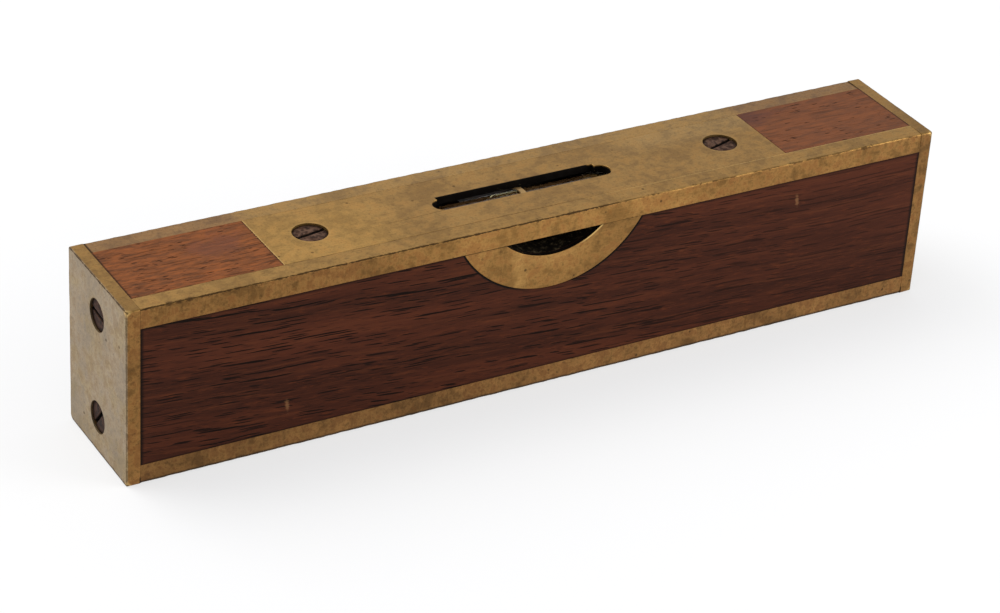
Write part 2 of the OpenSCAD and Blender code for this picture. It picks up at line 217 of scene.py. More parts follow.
def finish(material, sockets):
    """Fills the sockets of a material's shader."""
    fill(material.node_tree.nodes["Principled BSDF"], sockets)
    return material


def cover(material, share, shader):
    """Lays another shader over a material, as far as share says."""
    surface = material.node_tree.nodes["Material Output"].inputs["Surface"]
    under = Tint(material.node_tree, surface.links[0].from_socket)
    mixed = share.node("MixShader", {0: share, 1: under, 2: shader})
    material.node_tree.links.new(mixed.socket, surface)


print("shader class ready")

# %% [markdown]
# ## Floor and light
# The level stands on a white board in soft light from all round, which a pale world gives. A large lamp over
# the back left makes the top and the left end light and throws a faint shadow towards the camera, and a small
# one at the front right opens the shade on the front. The floor adds a little of its own white for the
# camera, for reflections and through glass, so that it stays white without more light on the level.

# %% Floor, lamps and surroundings
FLOOR_SIZE = 8
FLOOR_DROP = 0.02 * MM
FLOOR_WHITE = (0.9, 0.9, 0.905, 1)
FLOOR_GLOW = 0.62
SKY_TINT = (0.97, 0.98, 1, 1)
SKY_STRENGTH = 0.66
LAMP_AIM = Vector((0, 0, 20 * MM))

bpy.ops.object.select_all(action="DESELECT")
bpy.ops.mesh.primitive_plane_add(size=FLOOR_SIZE, location=(0, 0, -FLOOR_DROP))
floor = bpy.context.object
floor.name = "floor"

board = bpy.data.materials.new("white_board")
board.use_nodes = True
finish(board, {"Base Color": FLOOR_WHITE, "Roughness": 0.9, "Specular IOR Level": 0.1})
rays = ("Is Camera Ray", "Is Glossy Ray", "Is Transmission Ray")
camera_ray, glossy_ray, clear_ray = (Tint(board.node_tree).node("LightPath", out=ray) for ray in rays)
seen = camera_ray + glossy_ray + clear_ray
glow = seen.node("Emission", {"Color": (1, 1, 1, 1), "Strength": 1.0})
cover(board, seen.math("MINIMUM", seen, 1.0) * FLOOR_GLOW, glow)
floor.data.materials.append(board)

world = bpy.data.worlds.new("studio")
world.use_nodes = True
fill(world.node_tree.nodes["Background"], {"Color": SKY_TINT, "Strength": SKY_STRENGTH})
bpy.context.scene.world = world
bpy.context.scene.view_settings.view_transform = "Standard"


def softbox(name, place, size, power):
    """A square lamp that faces the middle of the level."""
    lamp = bpy.data.objects.new(name, bpy.data.lights.new(name, "AREA"))
    bpy.context.scene.collection.objects.link(lamp)
    lamp.data.size = size
    lamp.data.energy = power
    lamp.location = place
    lamp.rotation_euler = (LAMP_AIM - Vector(place)).to_track_quat("-Z", "Y").to_euler()


softbox("key_lamp", place=(-0.55, 0.6, 1.1), size=1.0, power=10.5)
softbox("fill_lamp", place=(0.62, -0.5, 0.26), size=0.5, power=3.2)
print("floor, world and lamps set")

# %% [markdown]
# ## Tools for modelling
# Each new piece starts as a primitive with nothing else selected, is shaped in edit mode on edges that are
# picked by their place, and is finished with modifiers that are applied. These helpers hold those steps.

# %% Modelling helpers
FINE = 0.001 * MM
CLOSE = 0.02 * MM
THROUGH = 10 * MM
SHARP_ANGLE = math.radians(35)
TURNED_SIDES = 64
ALONG_X = (0, math.radians(90), 0)
ALONG_Y = (math.radians(90), 0, 0)


def alone(piece):
    """Selects one piece and nothing else."""
    bpy.ops.object.select_all(action="DESELECT")
    piece.select_set(True)
    bpy.context.view_layer.objects.active = piece


def start(name, kind, **settings):
    """Adds one primitive with nothing else selected, its place and size in its mesh."""
    bpy.ops.object.select_all(action="DESELECT")
    getattr(bpy.ops.mesh, f"primitive_{kind}_add")(**settings)
    piece = bpy.context.object
    piece.name = name
    bpy.ops.object.transform_apply(location=True, rotation=True, scale=True)
    return piece


def block(name, low, high):
    """A box between two corners."""
    low, high = Vector(low), Vector(high)
    return start(name, "cube", size=1, location=(low + high) / 2, scale=high - low)


def edit(piece):
    """Opens a piece in edit mode."""
    bpy.context.view_layer.objects.active = piece
    bpy.ops.object.mode_set(mode="EDIT")


def pick_all():
    """Selects all of the mesh in edit mode."""
    bpy.ops.mesh.select_all(action="SELECT")


def done():
    """Leaves edit mode with the normals pointing out."""
    pick_all()
    bpy.ops.mesh.normals_make_consistent(inside=False)
    bpy.ops.object.mode_set(mode="OBJECT")


def pick(test):
    """Selects the edges whose two ends pass the test, and nothing else."""
    bpy.ops.mesh.select_mode(type="EDGE")
    bpy.ops.mesh.select_all(action="DESELECT")
    shape = bmesh.from_edit_mesh(bpy.context.edit_object.data)
    picked = [edge for edge in shape.edges if test(edge.verts[0].co, edge.verts[1].co)]
    for edge in picked:
        edge.select_set(True)
    bmesh.update_edit_mesh(bpy.context.edit_object.data)
    return len(picked)


def bevel(test, width, segments=2):
    """Bevels the edges whose two ends pass the test, if there are any."""
    if pick(test):
        bpy.ops.mesh.bevel(offset=width, segments=segments, affect="EDGES")


def extrude(*move):
    """Extrudes what is selected."""
    bpy.ops.mesh.extrude_region_move(TRANSFORM_OT_translate={"value": move})


def slice_off(height, **side):
    """Cuts the open piece level at a height, and drops the side that is named."""
    pick_all()
    bpy.ops.mesh.bisect(plane_co=(0, 0, height), plane_no=(0, 0, 1), use_fill=True, threshold=FINE, **side)


def near(value, target, within=CLOSE):
    """True where two sizes agree."""
    return abs(value - target) < within


def use(piece, kind, **settings):
    """Adds one modifier and applies it."""
    alone(piece)
    modifier = piece.modifiers.new(kind.lower(), kind)
    for key, value in settings.items():
        setattr(modifier, key, value)
    bpy.ops.object.modifier_apply(modifier=modifier.name)


def cut(piece, cutter):
    """Takes a cutter's shape out of a piece, and deletes the cutter."""
    use(piece, "BOOLEAN", object=cutter, operation="DIFFERENCE", solver="EXACT")
    bpy.data.objects.remove(cutter)


def smooth(piece, flat=False):
    """Shades a piece smooth but for sharp edges, and if asked keeps large faces flat beside fine bevels."""
    alone(piece)
    bpy.ops.object.shade_smooth_by_angle(angle=SHARP_ANGLE)
    if flat:
        use(piece, "WEIGHTED_NORMAL", keep_sharp=True)


def turned(name, rings):
    """A piece turned about Z: a disc, extruded and scaled from ring to ring of (radius, height)."""
    (radius, height), *others = rings
    piece = start(name, "circle", vertices=TURNED_SIDES, radius=radius, fill_type="NGON",
                  location=(0, 0, height))
    edit(piece)
    pick_all()
    for next_radius, next_height in others:
        extrude(0, 0, next_height - height)
        grow = next_radius / radius
        bpy.ops.transform.resize(value=(grow, grow, 1), center_override=(0, 0, next_height))
        radius, height = next_radius, next_height
    done()
    return piece


def coil(outline, turns, rise, steps_a_turn):
    """Sweeps a small ring up and round Z, and closes its two ends."""
    corners = len(outline.data.vertices)
    steps = round(steps_a_turn * turns)
    use(outline, "SCREW", axis="Z", angle=math.tau * turns, screw_offset=rise,
        steps=steps, render_steps=steps, use_merge_vertices=False)
    edit(outline)
    pick_all()
    bpy.ops.mesh.fill_holes(sides=corners)
    done()


def set_down(piece, matrix):
    """Moves a finished piece to its place and puts that place in its mesh."""
    alone(piece)
    piece.matrix_world = matrix
    bpy.ops.object.transform_apply(location=True, rotation=True, scale=True)
    return piece


def join(name, *parts):
    """Makes one piece of several."""
    alone(parts[0])
    for part in parts[1:]:
        part.select_set(True)
    bpy.ops.object.join()
    parts[0].name = name
    return parts[0]


def face_counts(pieces):
    """How many faces each piece has."""
    return {name: len(piece.data.polygons) for name, piece in pieces.items()}


print("modelling helpers ready")

# %% [markdown]
# ## Binding bars
# A brass bar is let into each long edge of the wood. A century of handling has rounded its outer edge and
# left nicks along it. A box with that edge bevelled gives the round, many cuts along its length make it fine
# enough to dent, and a Displace modifier, held to the outer edge by a vertex group, presses the dents in.

# %% Binding bars
BAR_ROUND = 0.5 * MM
BAR_DENT = 0.22 * MM
BAR_REACH = 0.13 * MM
BAR_CUTS = 17
LONG_EDGE = 100 * MM
CUT_EDGE = 6 * MM
JOINT_BEVEL = 0.05 * MM
PAST_ROUND = 1.1

dents = bpy.data.textures.new("edge_dents", "CLOUDS")
dents.noise_scale = 2.2 * MM
dents.noise_depth = 3


def dent(piece, worn, depth):
    """Presses soft dents into a piece, at the vertices whose place passes the test."""
    group = piece.vertex_groups.new(name="worn")
    group.add([vertex.index for vertex in piece.data.vertices if worn(vertex.co)], 1.0, "REPLACE")
    use(piece, "DISPLACE", texture=dents, texture_coords="LOCAL", vertex_group="worn",
        strength=-depth, mid_level=0)
    piece.vertex_groups.clear()


def binding_bar(node):
    low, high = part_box(node)
    low.x -= BAR_REACH
    high.x += BAR_REACH
    bar = block("worn_" + node, low, high)
    outer_y = low.y if low.y + high.y < 0 else high.y
    outer_z = high.z if low.z + high.z > cad_high.z else low.z

    def on_outer_edge(place, within=CLOSE):
        return near(place.y, outer_y, within) and near(place.z, outer_z, within)

    edit(bar)
    bevel(lambda a, b: abs(a.x - b.x) > LONG_EDGE and on_outer_edge(a), BAR_ROUND, segments=4)
    bevel(lambda a, b: abs(a.x - b.x) > LONG_EDGE and not on_outer_edge(a, 2 * BAR_ROUND), JOINT_BEVEL)
    for least in (LONG_EDGE, CUT_EDGE):
        pick(lambda a, b: abs(a.x - b.x) > least)
        bpy.ops.mesh.subdivide(number_cuts=BAR_CUTS)
    done()
    dent(bar, lambda place: on_outer_edge(place, BAR_ROUND * PAST_ROUND), BAR_DENT)
    smooth(bar, flat=True)
    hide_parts(node)
    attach(bar, "level_body")
    return bar


bars = {node: binding_bar(node) for node in nodes if node.startswith("binding_")}
print("bars:", face_counts(bars))

# %% [markdown]
# ## Wood screws
# Old slotted wood screws hold the plates: a flat head with a hand-cut slot, a countersunk cone, a plain shank
# and a thread down to the point. The blank is a disc that is extruded and scaled from ring to ring. Its slot
# is cut, and a narrow bevel softens every sharp edge. The thread, a small triangle swept by a Screw modifier,
# is joined to it last.

# %% Wood screws
HEAD_LAND = 0.35 * MM
SHANK_RADIUS = 2.1 * MM
SHANK_LENGTH = 3 * MM
SHANK_TAPER = 0.6 * MM
ROOT_RADIUS = 1.5 * MM
POINT_RADIUS = 0.4 * MM
POINT_LENGTH = 5 * MM
THREAD_PITCH = 1.8 * MM
THREAD_BELOW_SHANK = 0.8 * MM
THREAD_STEPS = 24
RIDGE_FOOT = 0.96
RIDGE_HALF = 0.36
SLOT_WIDTH = 0.9 * MM
SLOT_DEPTH = 1.1 * MM
SCREW_EDGE = 0.07 * MM
CORNER_ANGLE = math.radians(40)
SCREW_SETS = {
    "top_plate_screws": ((0, 0, 1), (10, 17)),
    "end_screws_left": ((-1, 0, 0), (-40, 85)),
    "end_screws_right": ((1, 0, 0), (21, -35)),
}


def screw_head(node):
    """The radius of the heads of a node's two screws, which lie side by side along X or Z."""
    low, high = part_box(node)
    return (high.y - low.y) / 2


def head_rings(head_radius, fit=0, above=0):
    """The rings of a countersunk head, from its face or above it down to the shank, opened by a fit."""
    neck = -HEAD_LAND - (head_radius - SHANK_RADIUS)
    return [(head_radius + fit, above), (head_radius + fit, -HEAD_LAND), (SHANK_RADIUS + fit, neck)]


def cut_slot(screw, reach, width, low, high, edge):
    """Saws a slot across a head between two heights, and softens every sharp edge."""
    cut(screw, block("slot", (-reach, -width / 2, low), (reach, width / 2, high)))
    use(screw, "BEVEL", width=edge, segments=2, limit_method="ANGLE", angle_limit=CORNER_ANGLE)


def thread(name, root, crest, pitch, low, high):
    """A helical ridge about Z."""
    ridge = start(name, "circle", vertices=3, radius=1, fill_type="NOTHING")
    foot, half = root * RIDGE_FOOT, pitch * RIDGE_HALF
    for vertex, (radius, height) in zip(ridge.data.vertices, ((crest, 0), (foot, half), (foot, -half))):
        vertex.co = (radius, 0, low + height)
    coil(ridge, (high - low) / pitch, high - low, THREAD_STEPS)
    return ridge


def wood_screw(name, head_radius, length):
    """One screw, its head at the origin, pointing down. Its vertices keep their depth for the finish."""
    head = head_rings(head_radius)
    threaded = head[-1][1] - SHANK_LENGTH
    tip = POINT_LENGTH - length
    screw = turned(name, head + [
        (SHANK_RADIUS, threaded), (ROOT_RADIUS, threaded - SHANK_TAPER), (ROOT_RADIUS, tip),
        (POINT_RADIUS, -length),
    ])
    cut_slot(screw, 2 * head_radius, SLOT_WIDTH, -SLOT_DEPTH, SLOT_DEPTH, SCREW_EDGE)
    ridge = thread("thread", ROOT_RADIUS, SHANK_RADIUS, THREAD_PITCH, tip, threaded - THREAD_BELOW_SHANK)
    screw = join(name, screw, ridge)
    depth = screw.data.attributes.new("depth", "FLOAT", "POINT")
    for vertex, item in zip(screw.data.vertices, depth.data):
        item.value = -vertex.co.z / MM
    smooth(screw)
    return screw


def copies(master, name, places):
    """One piece made of copies of a master, each with its own mesh at its own place."""
    made = []
    for matrix in places:
        copy = master.copy()
        copy.data = master.data.copy()
        bpy.context.scene.collection.objects.link(copy)
        made.append(set_down(copy, matrix))
    return join(name, *made)


def screw_places(node):
    """Where the two screws of a node sit, head outwards along their axis, each slot at its own angle."""
    axis, slot_angles = SCREW_SETS[node]
    low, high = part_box(node)
    outward = Vector(axis)
    spread = Vector((1, 0, 0)) if outward.z else Vector((0, 0, 1))
    half_pitch = (high - low).dot(spread) / 2 - screw_head(node)
    face = (low + high) / 2 + outward * abs((high - low).dot(outward)) / 2
    lean = Matrix.Rotation(math.radians(90) * outward.x, 4, "Y")
    for side, angle in zip((-1, 1), slot_angles):
        spot = face + spread * side * half_pitch
        yield Matrix.Translation(spot) @ lean @ Matrix.Rotation(math.radians(angle), 4, "Z")


screws = {}
for node, (axis, _) in SCREW_SETS.items():
    low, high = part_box(node)
    length = high.z - low.z if axis[2] else high.x - low.x
    master = wood_screw("blank_screw", screw_head(node), length)
    screws[node] = copies(master, "slotted_" + node, screw_places(node))
    bpy.data.objects.remove(master)
    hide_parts(node)
    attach(screws[node], "level_body")
print("screws:", face_counts(screws))

# %% [markdown]
# ## End plates
# Each end is capped by a brass plate with two countersunk screws. Its corners run on from the bars, but the
# lower back corner of the left plate has been worn rounder. The box gets its corners and its rims bevelled,
# the countersinks are cut with a turned cutter, and the outer edges take a few shallow dents.

# %% End plates
CORNER_ROUND = 0.5 * MM
WORN_CORNER_ROUND = 1.6 * MM
RIM_BEVEL = 0.35 * MM
RIM_DENT = 0.08 * MM
RIM_EDGE = 10 * MM
RIM_CUTS = 40
SEAT_BEVEL = 0.03 * MM
SCREW_FIT = 0.1 * MM
CUTTER_ABOVE = 0.8 * MM


def cut_countersinks(plate, node, reach):
    """Cuts the holes for the two screws of a node into a plate, with a turned cutter."""
    rings = head_rings(screw_head(node), SCREW_FIT, CUTTER_ABOVE) + [(SHANK_RADIUS + SCREW_FIT, -reach)]
    for matrix in screw_places(node):
        cut(plate, set_down(turned("countersink", rings), matrix))


def end_plate(node, screw_node):
    low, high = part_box(node)
    thick = high.x - low.x
    face, seat = (low.x, high.x) if low.x < 0 else (high.x, low.x)
    middle = (low + high) / 2
    reach = (high - low) / 2

    def inset(place):
        return min(reach.y - abs(place.y - middle.y), reach.z - abs(place.z - middle.z))

    def at_worn_corner(place):
        return low.x < 0 and place.y > middle.y and place.z < middle.z

    def on_rim(side, within, *places):
        return all(near(place.x, side) and near(inset(place), 0, within) for place in places)

    plate = block("worn_" + node, low, high)
    edit(plate)
    for worn, width in ((True, WORN_CORNER_ROUND), (False, CORNER_ROUND)):
        bevel(lambda a, b: abs(a.x - b.x) > thick / 2 and near(inset(a), 0) and at_worn_corner(a) == worn,
              width, segments=6)
    for side in (face, seat):
        pick(lambda a, b: on_rim(side, CLOSE, a, b) and (a - b).length > RIM_EDGE)
        bpy.ops.mesh.subdivide(number_cuts=RIM_CUTS)
    for side, width in ((seat, SEAT_BEVEL), (face, RIM_BEVEL)):
        bevel(lambda a, b: on_rim(side, WORN_CORNER_ROUND / 2, a, b), width, segments=3)
    done()
    cut_countersinks(plate, screw_node, 3 * thick)
    edge = RIM_BEVEL * PAST_ROUND
    dent(plate, lambda place: inset(place) < edge and near(place.x, face, edge), RIM_DENT)
    smooth(plate, flat=True)
    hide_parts(node)
    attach(plate, "level_body")
    return plate


end_plates = {side: end_plate("end_plate_" + side, "end_screws_" + side) for side in ("left", "right")}
print("end plates:", face_counts(end_plates))

# %% [markdown]
# ## Top plate
# The top plate lies flush between the bars. Its slot was drilled at both ends and sawn and filed between
# them, a little too wide at the back, so that a small tooth is left at each end. A box and two cylinders cut
# it the same way, and a fine bevel breaks its edge.

# %% Top plate
SLOT_LENGTH = 45 * MM
SLOT_OPENING = 5.6 * MM
SLOT_END_RADIUS = 2.35 * MM
SLOT_SAWN = (-20.3 * MM, 19.7 * MM)
SLOT_BEVEL = 0.14 * MM
DRILLED_SIDES = 48
PAST_SLOT = 0.5 * MM

plate_low, plate_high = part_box("top_plate")
top_plate = block("worn_top_plate", plate_low, plate_high)
cut(top_plate, block("sawn_slot", (SLOT_SAWN[0], -SLOT_OPENING / 2, -THROUGH + plate_low.z),
                     (SLOT_SAWN[1], SLOT_OPENING / 2, THROUGH + plate_high.z)))
for side in (-1, 1):
    end_place = (side * (SLOT_LENGTH / 2 - SLOT_END_RADIUS), SLOT_END_RADIUS - SLOT_OPENING / 2, plate_high.z)
    cut(top_plate, start("drilled_end", "cylinder", vertices=DRILLED_SIDES, radius=SLOT_END_RADIUS,
                         depth=THROUGH, location=end_place))
cut_countersinks(top_plate, "top_plate_screws", THROUGH)


def on_slot_rim(place):
    by_slot = abs(place.x) < SLOT_LENGTH / 2 + PAST_SLOT and abs(place.y) < SLOT_OPENING / 2 + PAST_SLOT
    return by_slot and near(place.z, plate_high.z)


def on_same_side(a, b):
    """True where an edge lies along one side of the plate's outline."""
    return any(all(near(abs(place[axis]), plate_high[axis]) for place in (a, b)) for axis in (0, 1))


edit(top_plate)
bevel(lambda a, b: on_slot_rim(a) and on_slot_rim(b), SLOT_BEVEL, segments=3)
bevel(lambda a, b: near(a.z, plate_high.z) and near(b.z, plate_high.z) and on_same_side(a, b), JOINT_BEVEL)
done()
smooth(top_plate, flat=True)
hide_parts("top_plate")
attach(top_plate, "level_body")
print("top plate faces:", len(top_plate.data.polygons))

# %% [markdown]
# ## Index bar
# A thin strip bows over the vial in the middle of the slot, to centre the bubble on. It is one small face,
# extruded into a foot, spun about the vial's axis into the bow, and extruded again into the other foot.

# %% Index bar
INDEX_THICK = 0.25 * MM
BOW_STEPS = 18

index_low, index_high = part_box("index_bar")
glass_low, glass_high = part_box("vial_glass")
vial_axis = (glass_low + glass_high) / 2
index_width = index_high.x - index_low.x
bow_radius = index_high.z - vial_axis.z - INDEX_THICK / 2
foot_height = plate_low.z - INDEX_THICK / 2
bow_angle = math.acos((foot_height - vial_axis.z) / bow_radius)
foot_length = index_high.y - bow_radius * math.sin(bow_angle)
foot_start = Vector((0, index_low.y, foot_height))
foot_end = foot_start + Vector((0, foot_length, 0))

index_bar = start("bowed_index_bar", "plane", size=index_width, location=foot_start, rotation=ALONG_Y)
edit(index_bar)
pick_all()
bpy.ops.transform.resize(value=(1, 1, INDEX_THICK / index_width), center_override=foot_start)
extrude(0, foot_length, 0)
bpy.ops.transform.rotate(value=-bow_angle, orient_axis="X", center_override=foot_end)
bpy.ops.mesh.spin(steps=BOW_STEPS, angle=2 * bow_angle, center=vial_axis, axis=(1, 0, 0))
extrude(0, foot_length, 0)
bpy.ops.transform.resize(value=(1, 0, 1), center_override=(0, index_high.y, 0))
pick_all()
bpy.ops.mesh.remove_doubles(threshold=FINE)
done()
smooth(index_bar)
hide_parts("index_bar")
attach(index_bar, "level_body")
print("index bar faces:", len(index_bar.data.polygons))

# %% [markdown]
# ## Half-moon sight plates
# A half-moon plate on each side frames the crescent opening that shows the vial from the side. It is a disc
# with a smaller disc cut from the same centre. A fine bevel on the outer face catches the light round the
# lip, and a bisect level with the underside of the top bar takes the upper part away.

# %% Sight plates
SIGHT_RADIUS = 26 * MM
SIGHT_HOLE_RADIUS = 17.8 * MM
SIGHT_BEVEL = 0.14 * MM
SIGHT_SIDES = 192
SIGHT_EDGE = 2 * MM


def sight_plate(node):
    low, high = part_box(node)
    face = low.y if low.y < 0 else high.y
    centre = Vector((0, (low.y + high.y) / 2, low.z + SIGHT_RADIUS))
    plate = start("lipped_" + node, "cylinder", vertices=SIGHT_SIDES, radius=SIGHT_RADIUS,
                  depth=high.y - low.y, location=centre, rotation=ALONG_Y)
    cut(plate, start("sight_hole", "cylinder", vertices=SIGHT_SIDES, radius=SIGHT_HOLE_RADIUS,
                     depth=THROUGH, location=centre, rotation=ALONG_Y))
    edit(plate)
    bevel(lambda a, b: near(a.y, face) and near(b.y, face) and (a - b).length < SIGHT_EDGE, SIGHT_BEVEL)
    slice_off(high.z, clear_outer=True)
    done()
    smooth(plate, flat=True)
    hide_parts(node)
    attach(plate, "level_body")
    return plate


sights = {node: sight_plate(node) for node in nodes if node.startswith("sight_plate_")}
print("sight plates:", face_counts(sights))

# %% [markdown]
# ## Vial, spirit and bubble
# The vial is a closed glass tube with round ends, nearly full of spirit, and the air left in it is the
# bubble. A cylinder with its end rims bevelled by nearly its radius is such a capsule, and Solidify gives the
# glass its wall. The spirit fills the bore, and the bubble is a capsule cut flat below, where it floats.

# %% Vial, spirit and bubble
GLASS_WALL = 1 * MM
TUBE_SIDES = 64
END_ROUND = 0.985
END_SEGMENTS = 16


def capsule(name, low, high):
    """A closed tube with round ends, filling a box along X."""
    radius = (high.y - low.y) / 2
    tube = start(name, "cylinder", vertices=TUBE_SIDES, radius=radius, depth=high.x - low.x,
                 location=(low + high) / 2, rotation=ALONG_X)
    edit(tube)
    bevel(lambda a, b: any(near(a.x, end) and near(b.x, end) for end in (low.x, high.x)),
          radius * END_ROUND, END_SEGMENTS)
    done()
    return tube


vial = capsule("blown_vial_glass", glass_low, glass_high)
use(vial, "SOLIDIFY", thickness=GLASS_WALL, offset=-1)
smooth(vial)
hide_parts("vial_glass")
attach(vial, "vial_unit")

spirit_low, spirit_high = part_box("spirit")
spirit_high.z = spirit_low.z + spirit_high.y - spirit_low.y
spirit = capsule("filled_spirit", spirit_low, spirit_high)
smooth(spirit)
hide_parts("spirit")
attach(spirit, "vial_unit")

bubble_low, bubble_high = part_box("bubble")
bubble_radius = bubble_high.z - vial_axis.z
flat_half = math.sqrt(bubble_radius ** 2 - (bubble_low.z - vial_axis.z) ** 2)
bubble_reach = Vector((bubble_high.x + bubble_radius - flat_half, bubble_radius, bubble_radius))
bubble = capsule("floating_bubble", vial_axis - bubble_reach, vial_axis + bubble_reach)
edit(bubble)
slice_off(bubble_low.z, clear_inner=True)
done()
smooth(bubble)
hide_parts("bubble")
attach(bubble, "bubble")
print("vial faces:", len(vial.data.polygons), "bubble faces:", len(bubble.data.polygons))

# %% [markdown]
# ## Adjusting spring
# Out of sight at the right of the vial, a spring presses the cradle down and a captive screw draws it up, so
# that the vial can be set true to the sole. The spring is a ring of wire swept by a Screw modifier.

# %% Adjusting spring
SPRING_WIRE = 0.7 * MM
SPRING_TURNS = 4.5
SPRING_STEPS = 28
WIRE_SIDES = 12

spring_low, spring_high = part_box("adjusting_spring")
screw_low, screw_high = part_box("adjusting_screw")
screw_axis = Vector(((screw_low.x + screw_high.x) / 2, 0, 0))
coil_radius = (spring_high.y - spring_low.y - SPRING_WIRE) / 2
wire_start = (coil_radius, 0, spring_low.z + SPRING_WIRE / 2)
spring = start("coiled_adjusting_spring", "circle", vertices=WIRE_SIDES, radius=SPRING_WIRE / 2,
               fill_type="NOTHING", location=wire_start, rotation=ALONG_Y)
coil(spring, SPRING_TURNS, spring_high.z - spring_low.z - SPRING_WIRE, SPRING_STEPS)
set_down(spring, Matrix.Translation(screw_axis))
smooth(spring)
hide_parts("adjusting_spring")
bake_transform(spring)
print("spring faces:", len(spring.data.polygons))

# %% [markdown]
# ## Adjusting screw
# The screw hangs head down and is made as the wood screws are: a blank, a slot and a swept thread, here fine
# enough for a small adjustment.

# %% Adjusting screw
ADJUST_HEAD = 2 * MM
ADJUST_RADIUS = 1.6 * MM
ADJUST_ROOT = 1.3 * MM
ADJUST_TIP = 0.91 * MM
ADJUST_PITCH = 0.635 * MM
ADJUST_SLOT = 0.8 * MM
ADJUST_SLOT_DEPTH = 0.9 * MM
ADJUST_EDGE = 0.1 * MM

head_radius = (screw_high.y - screw_low.y) / 2
head_top = screw_low.z + ADJUST_HEAD
collar_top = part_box("screw_collar")[1].z
thread_end = screw_high.z - ADJUST_PITCH
adjuster = turned("threaded_adjusting_screw", [
    (head_radius, screw_low.z), (head_radius, head_top),
    (ADJUST_RADIUS, head_top), (ADJUST_RADIUS, collar_top),
    (ADJUST_ROOT, collar_top + ADJUST_PITCH / 2), (ADJUST_ROOT, thread_end), (ADJUST_TIP, screw_high.z),
])
slot_end = screw_low.z + ADJUST_SLOT_DEPTH
cut_slot(adjuster, 2 * head_radius, ADJUST_SLOT, screw_low.z - MM, slot_end, ADJUST_EDGE)
ridge = thread("fine_thread", ADJUST_ROOT, ADJUST_RADIUS, ADJUST_PITCH, collar_top + ADJUST_PITCH, thread_end)
adjuster = set_down(join("threaded_adjusting_screw", adjuster, ridge), Matrix.Translation(screw_axis))
smooth(adjuster)
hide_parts("adjusting_screw")
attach(adjuster, "adjuster")
print("screw faces:", len(adjuster.data.polygons))

# %% [markdown]
# ## Places that the finishes read
# Wear and dirt follow the faces, joints and screws of the level. The finishes read the place on a piece in
# mm, so these places are taken from the frame and from the sizes above, in mm.

# %% Places in mm
SEAT_GAP = 0.25

FRONT = cad_low.y / MM
TOP = cad_high.z / MM
END = cad_high.x / MM
END_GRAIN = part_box("stock")[1].x / MM
PLATE_HALF = plate_high.x / MM
BAR_LEG = plate_low.y / MM - FRONT
SLOT_HALF_LENGTH = SLOT_LENGTH / MM / 2
SLOT_HALF = SLOT_OPENING / MM / 2
SLOT_LEFT = SLOT_SAWN[0] / MM
SIGHT_SEAT_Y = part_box("sight_plate_back")[0].y / MM
SIGHT_CENTRE_Z = (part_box("sight_plate_front")[0].z + SIGHT_RADIUS) / MM
SIGHT_SEAT = SIGHT_RADIUS / MM + SEAT_GAP
SIGHT_HOLE = SIGHT_HOLE_RADIUS / MM


def screw_offsets(node):
    """The middle of a node's two screws, half their distance, and their head radius."""
    low, high = (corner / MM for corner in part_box(node))
    head = screw_head(node) / MM
    return (low + high) / 2, max(high.x - low.x, high.z - low.z) / 2 - head, head


_, top_half, top_head = screw_offsets("top_plate_screws")
end_middle, end_half, end_head = screw_offsets("end_screws_left")


def off_top_screws(x, y, z):
    """How far a place is from the axis of the nearer top plate screw."""
    return far(abs(x) - top_half, y)


def off_end_screws(x, y, z):
    """How far a place is from the axis of the nearer end plate screw."""
    return far(abs(z - end_middle.z) - end_half, y)


print("faces at, mm:", [round(place, 2) for place in (FRONT, TOP, END)])

# %% [markdown]
# ## Rosewood
# The block is dark red-brown rosewood. Its grain runs along the level and drops a little to the right, with
# long black pores, warmer flecks and a rubbed wax finish. Light has faded the two patches on the top to
# orange. The holes inside are dusty, and painted dark as shade. The grain is one field through the whole
# block, so it runs on from face to face. Pores are scattered points in a place squeezed along the grain,
# which draws each point out to a line.

# %% Grain and pores
GRAIN_FALL = 0.06
GRAIN_SAG = 0.00013
GRAIN_SKEW = 0.03
PORE_CORE = 0.72


def grain_place(place, x, y, z):
    """The place as the grain sees it: level along the fibres, which fall, sag and wander."""
    drift = place.stretch(0.012, 0.02, 0.03).noise(1, detail=2) * 5
    wander = place.stretch(0.07, 0.3, 0.3).noise(1, detail=3, shift=9) * 0.9
    grain_z = z + x * GRAIN_FALL - x * x * GRAIN_SAG + drift + wander
    grain_y = y + x * GRAIN_SKEW + drift * 0.6 + wander
    return place.node("CombineXYZ", {"X": x, "Y": grain_y, "Z": grain_z})


def pore_lines(grain, along, across, thick):
    """Thin dark lines along the grain."""
    return grain.stretch(along, across, across).cells(1).step(thick, thick * PORE_CORE)


def wood_pores(place, grain, x, top):
    """Long pores in crowds on the sides, fewer to the right, and clusters of short ones on the top."""
    crowd = grain.stretch(0.02, 0.14, 0.14).noise(1, detail=3, shift=71).step(0.32, 0.5)
    pores = pore_lines(grain, along=0.024, across=1.1, thick=0.28) * crowd
    pores = pores.most(pore_lines(grain, along=0.07, across=1.75, thick=0.30) * 0.95)
    pores = pores.most(pore_lines(grain, along=0.17, across=3.0, thick=0.29) * 0.5)
    pores = pores * (1 - x.step(-20, 95) * 0.5)
    clusters = place.noise(0.24, rough=0.6, shift=107).step(0.44, 0.56)
    short_pores = pore_lines(grain, along=0.26, across=1.5, thick=0.27) * clusters
    return (pores * (1 - top * 0.45)).most(short_pores * top)


print("grain functions ready")

# %% Rosewood
SCUFFS = ((-64.3, 10.7), (64.7, 32.5))
BRUISE = (66, 8)
PINK_PATCH = (-72, 3)


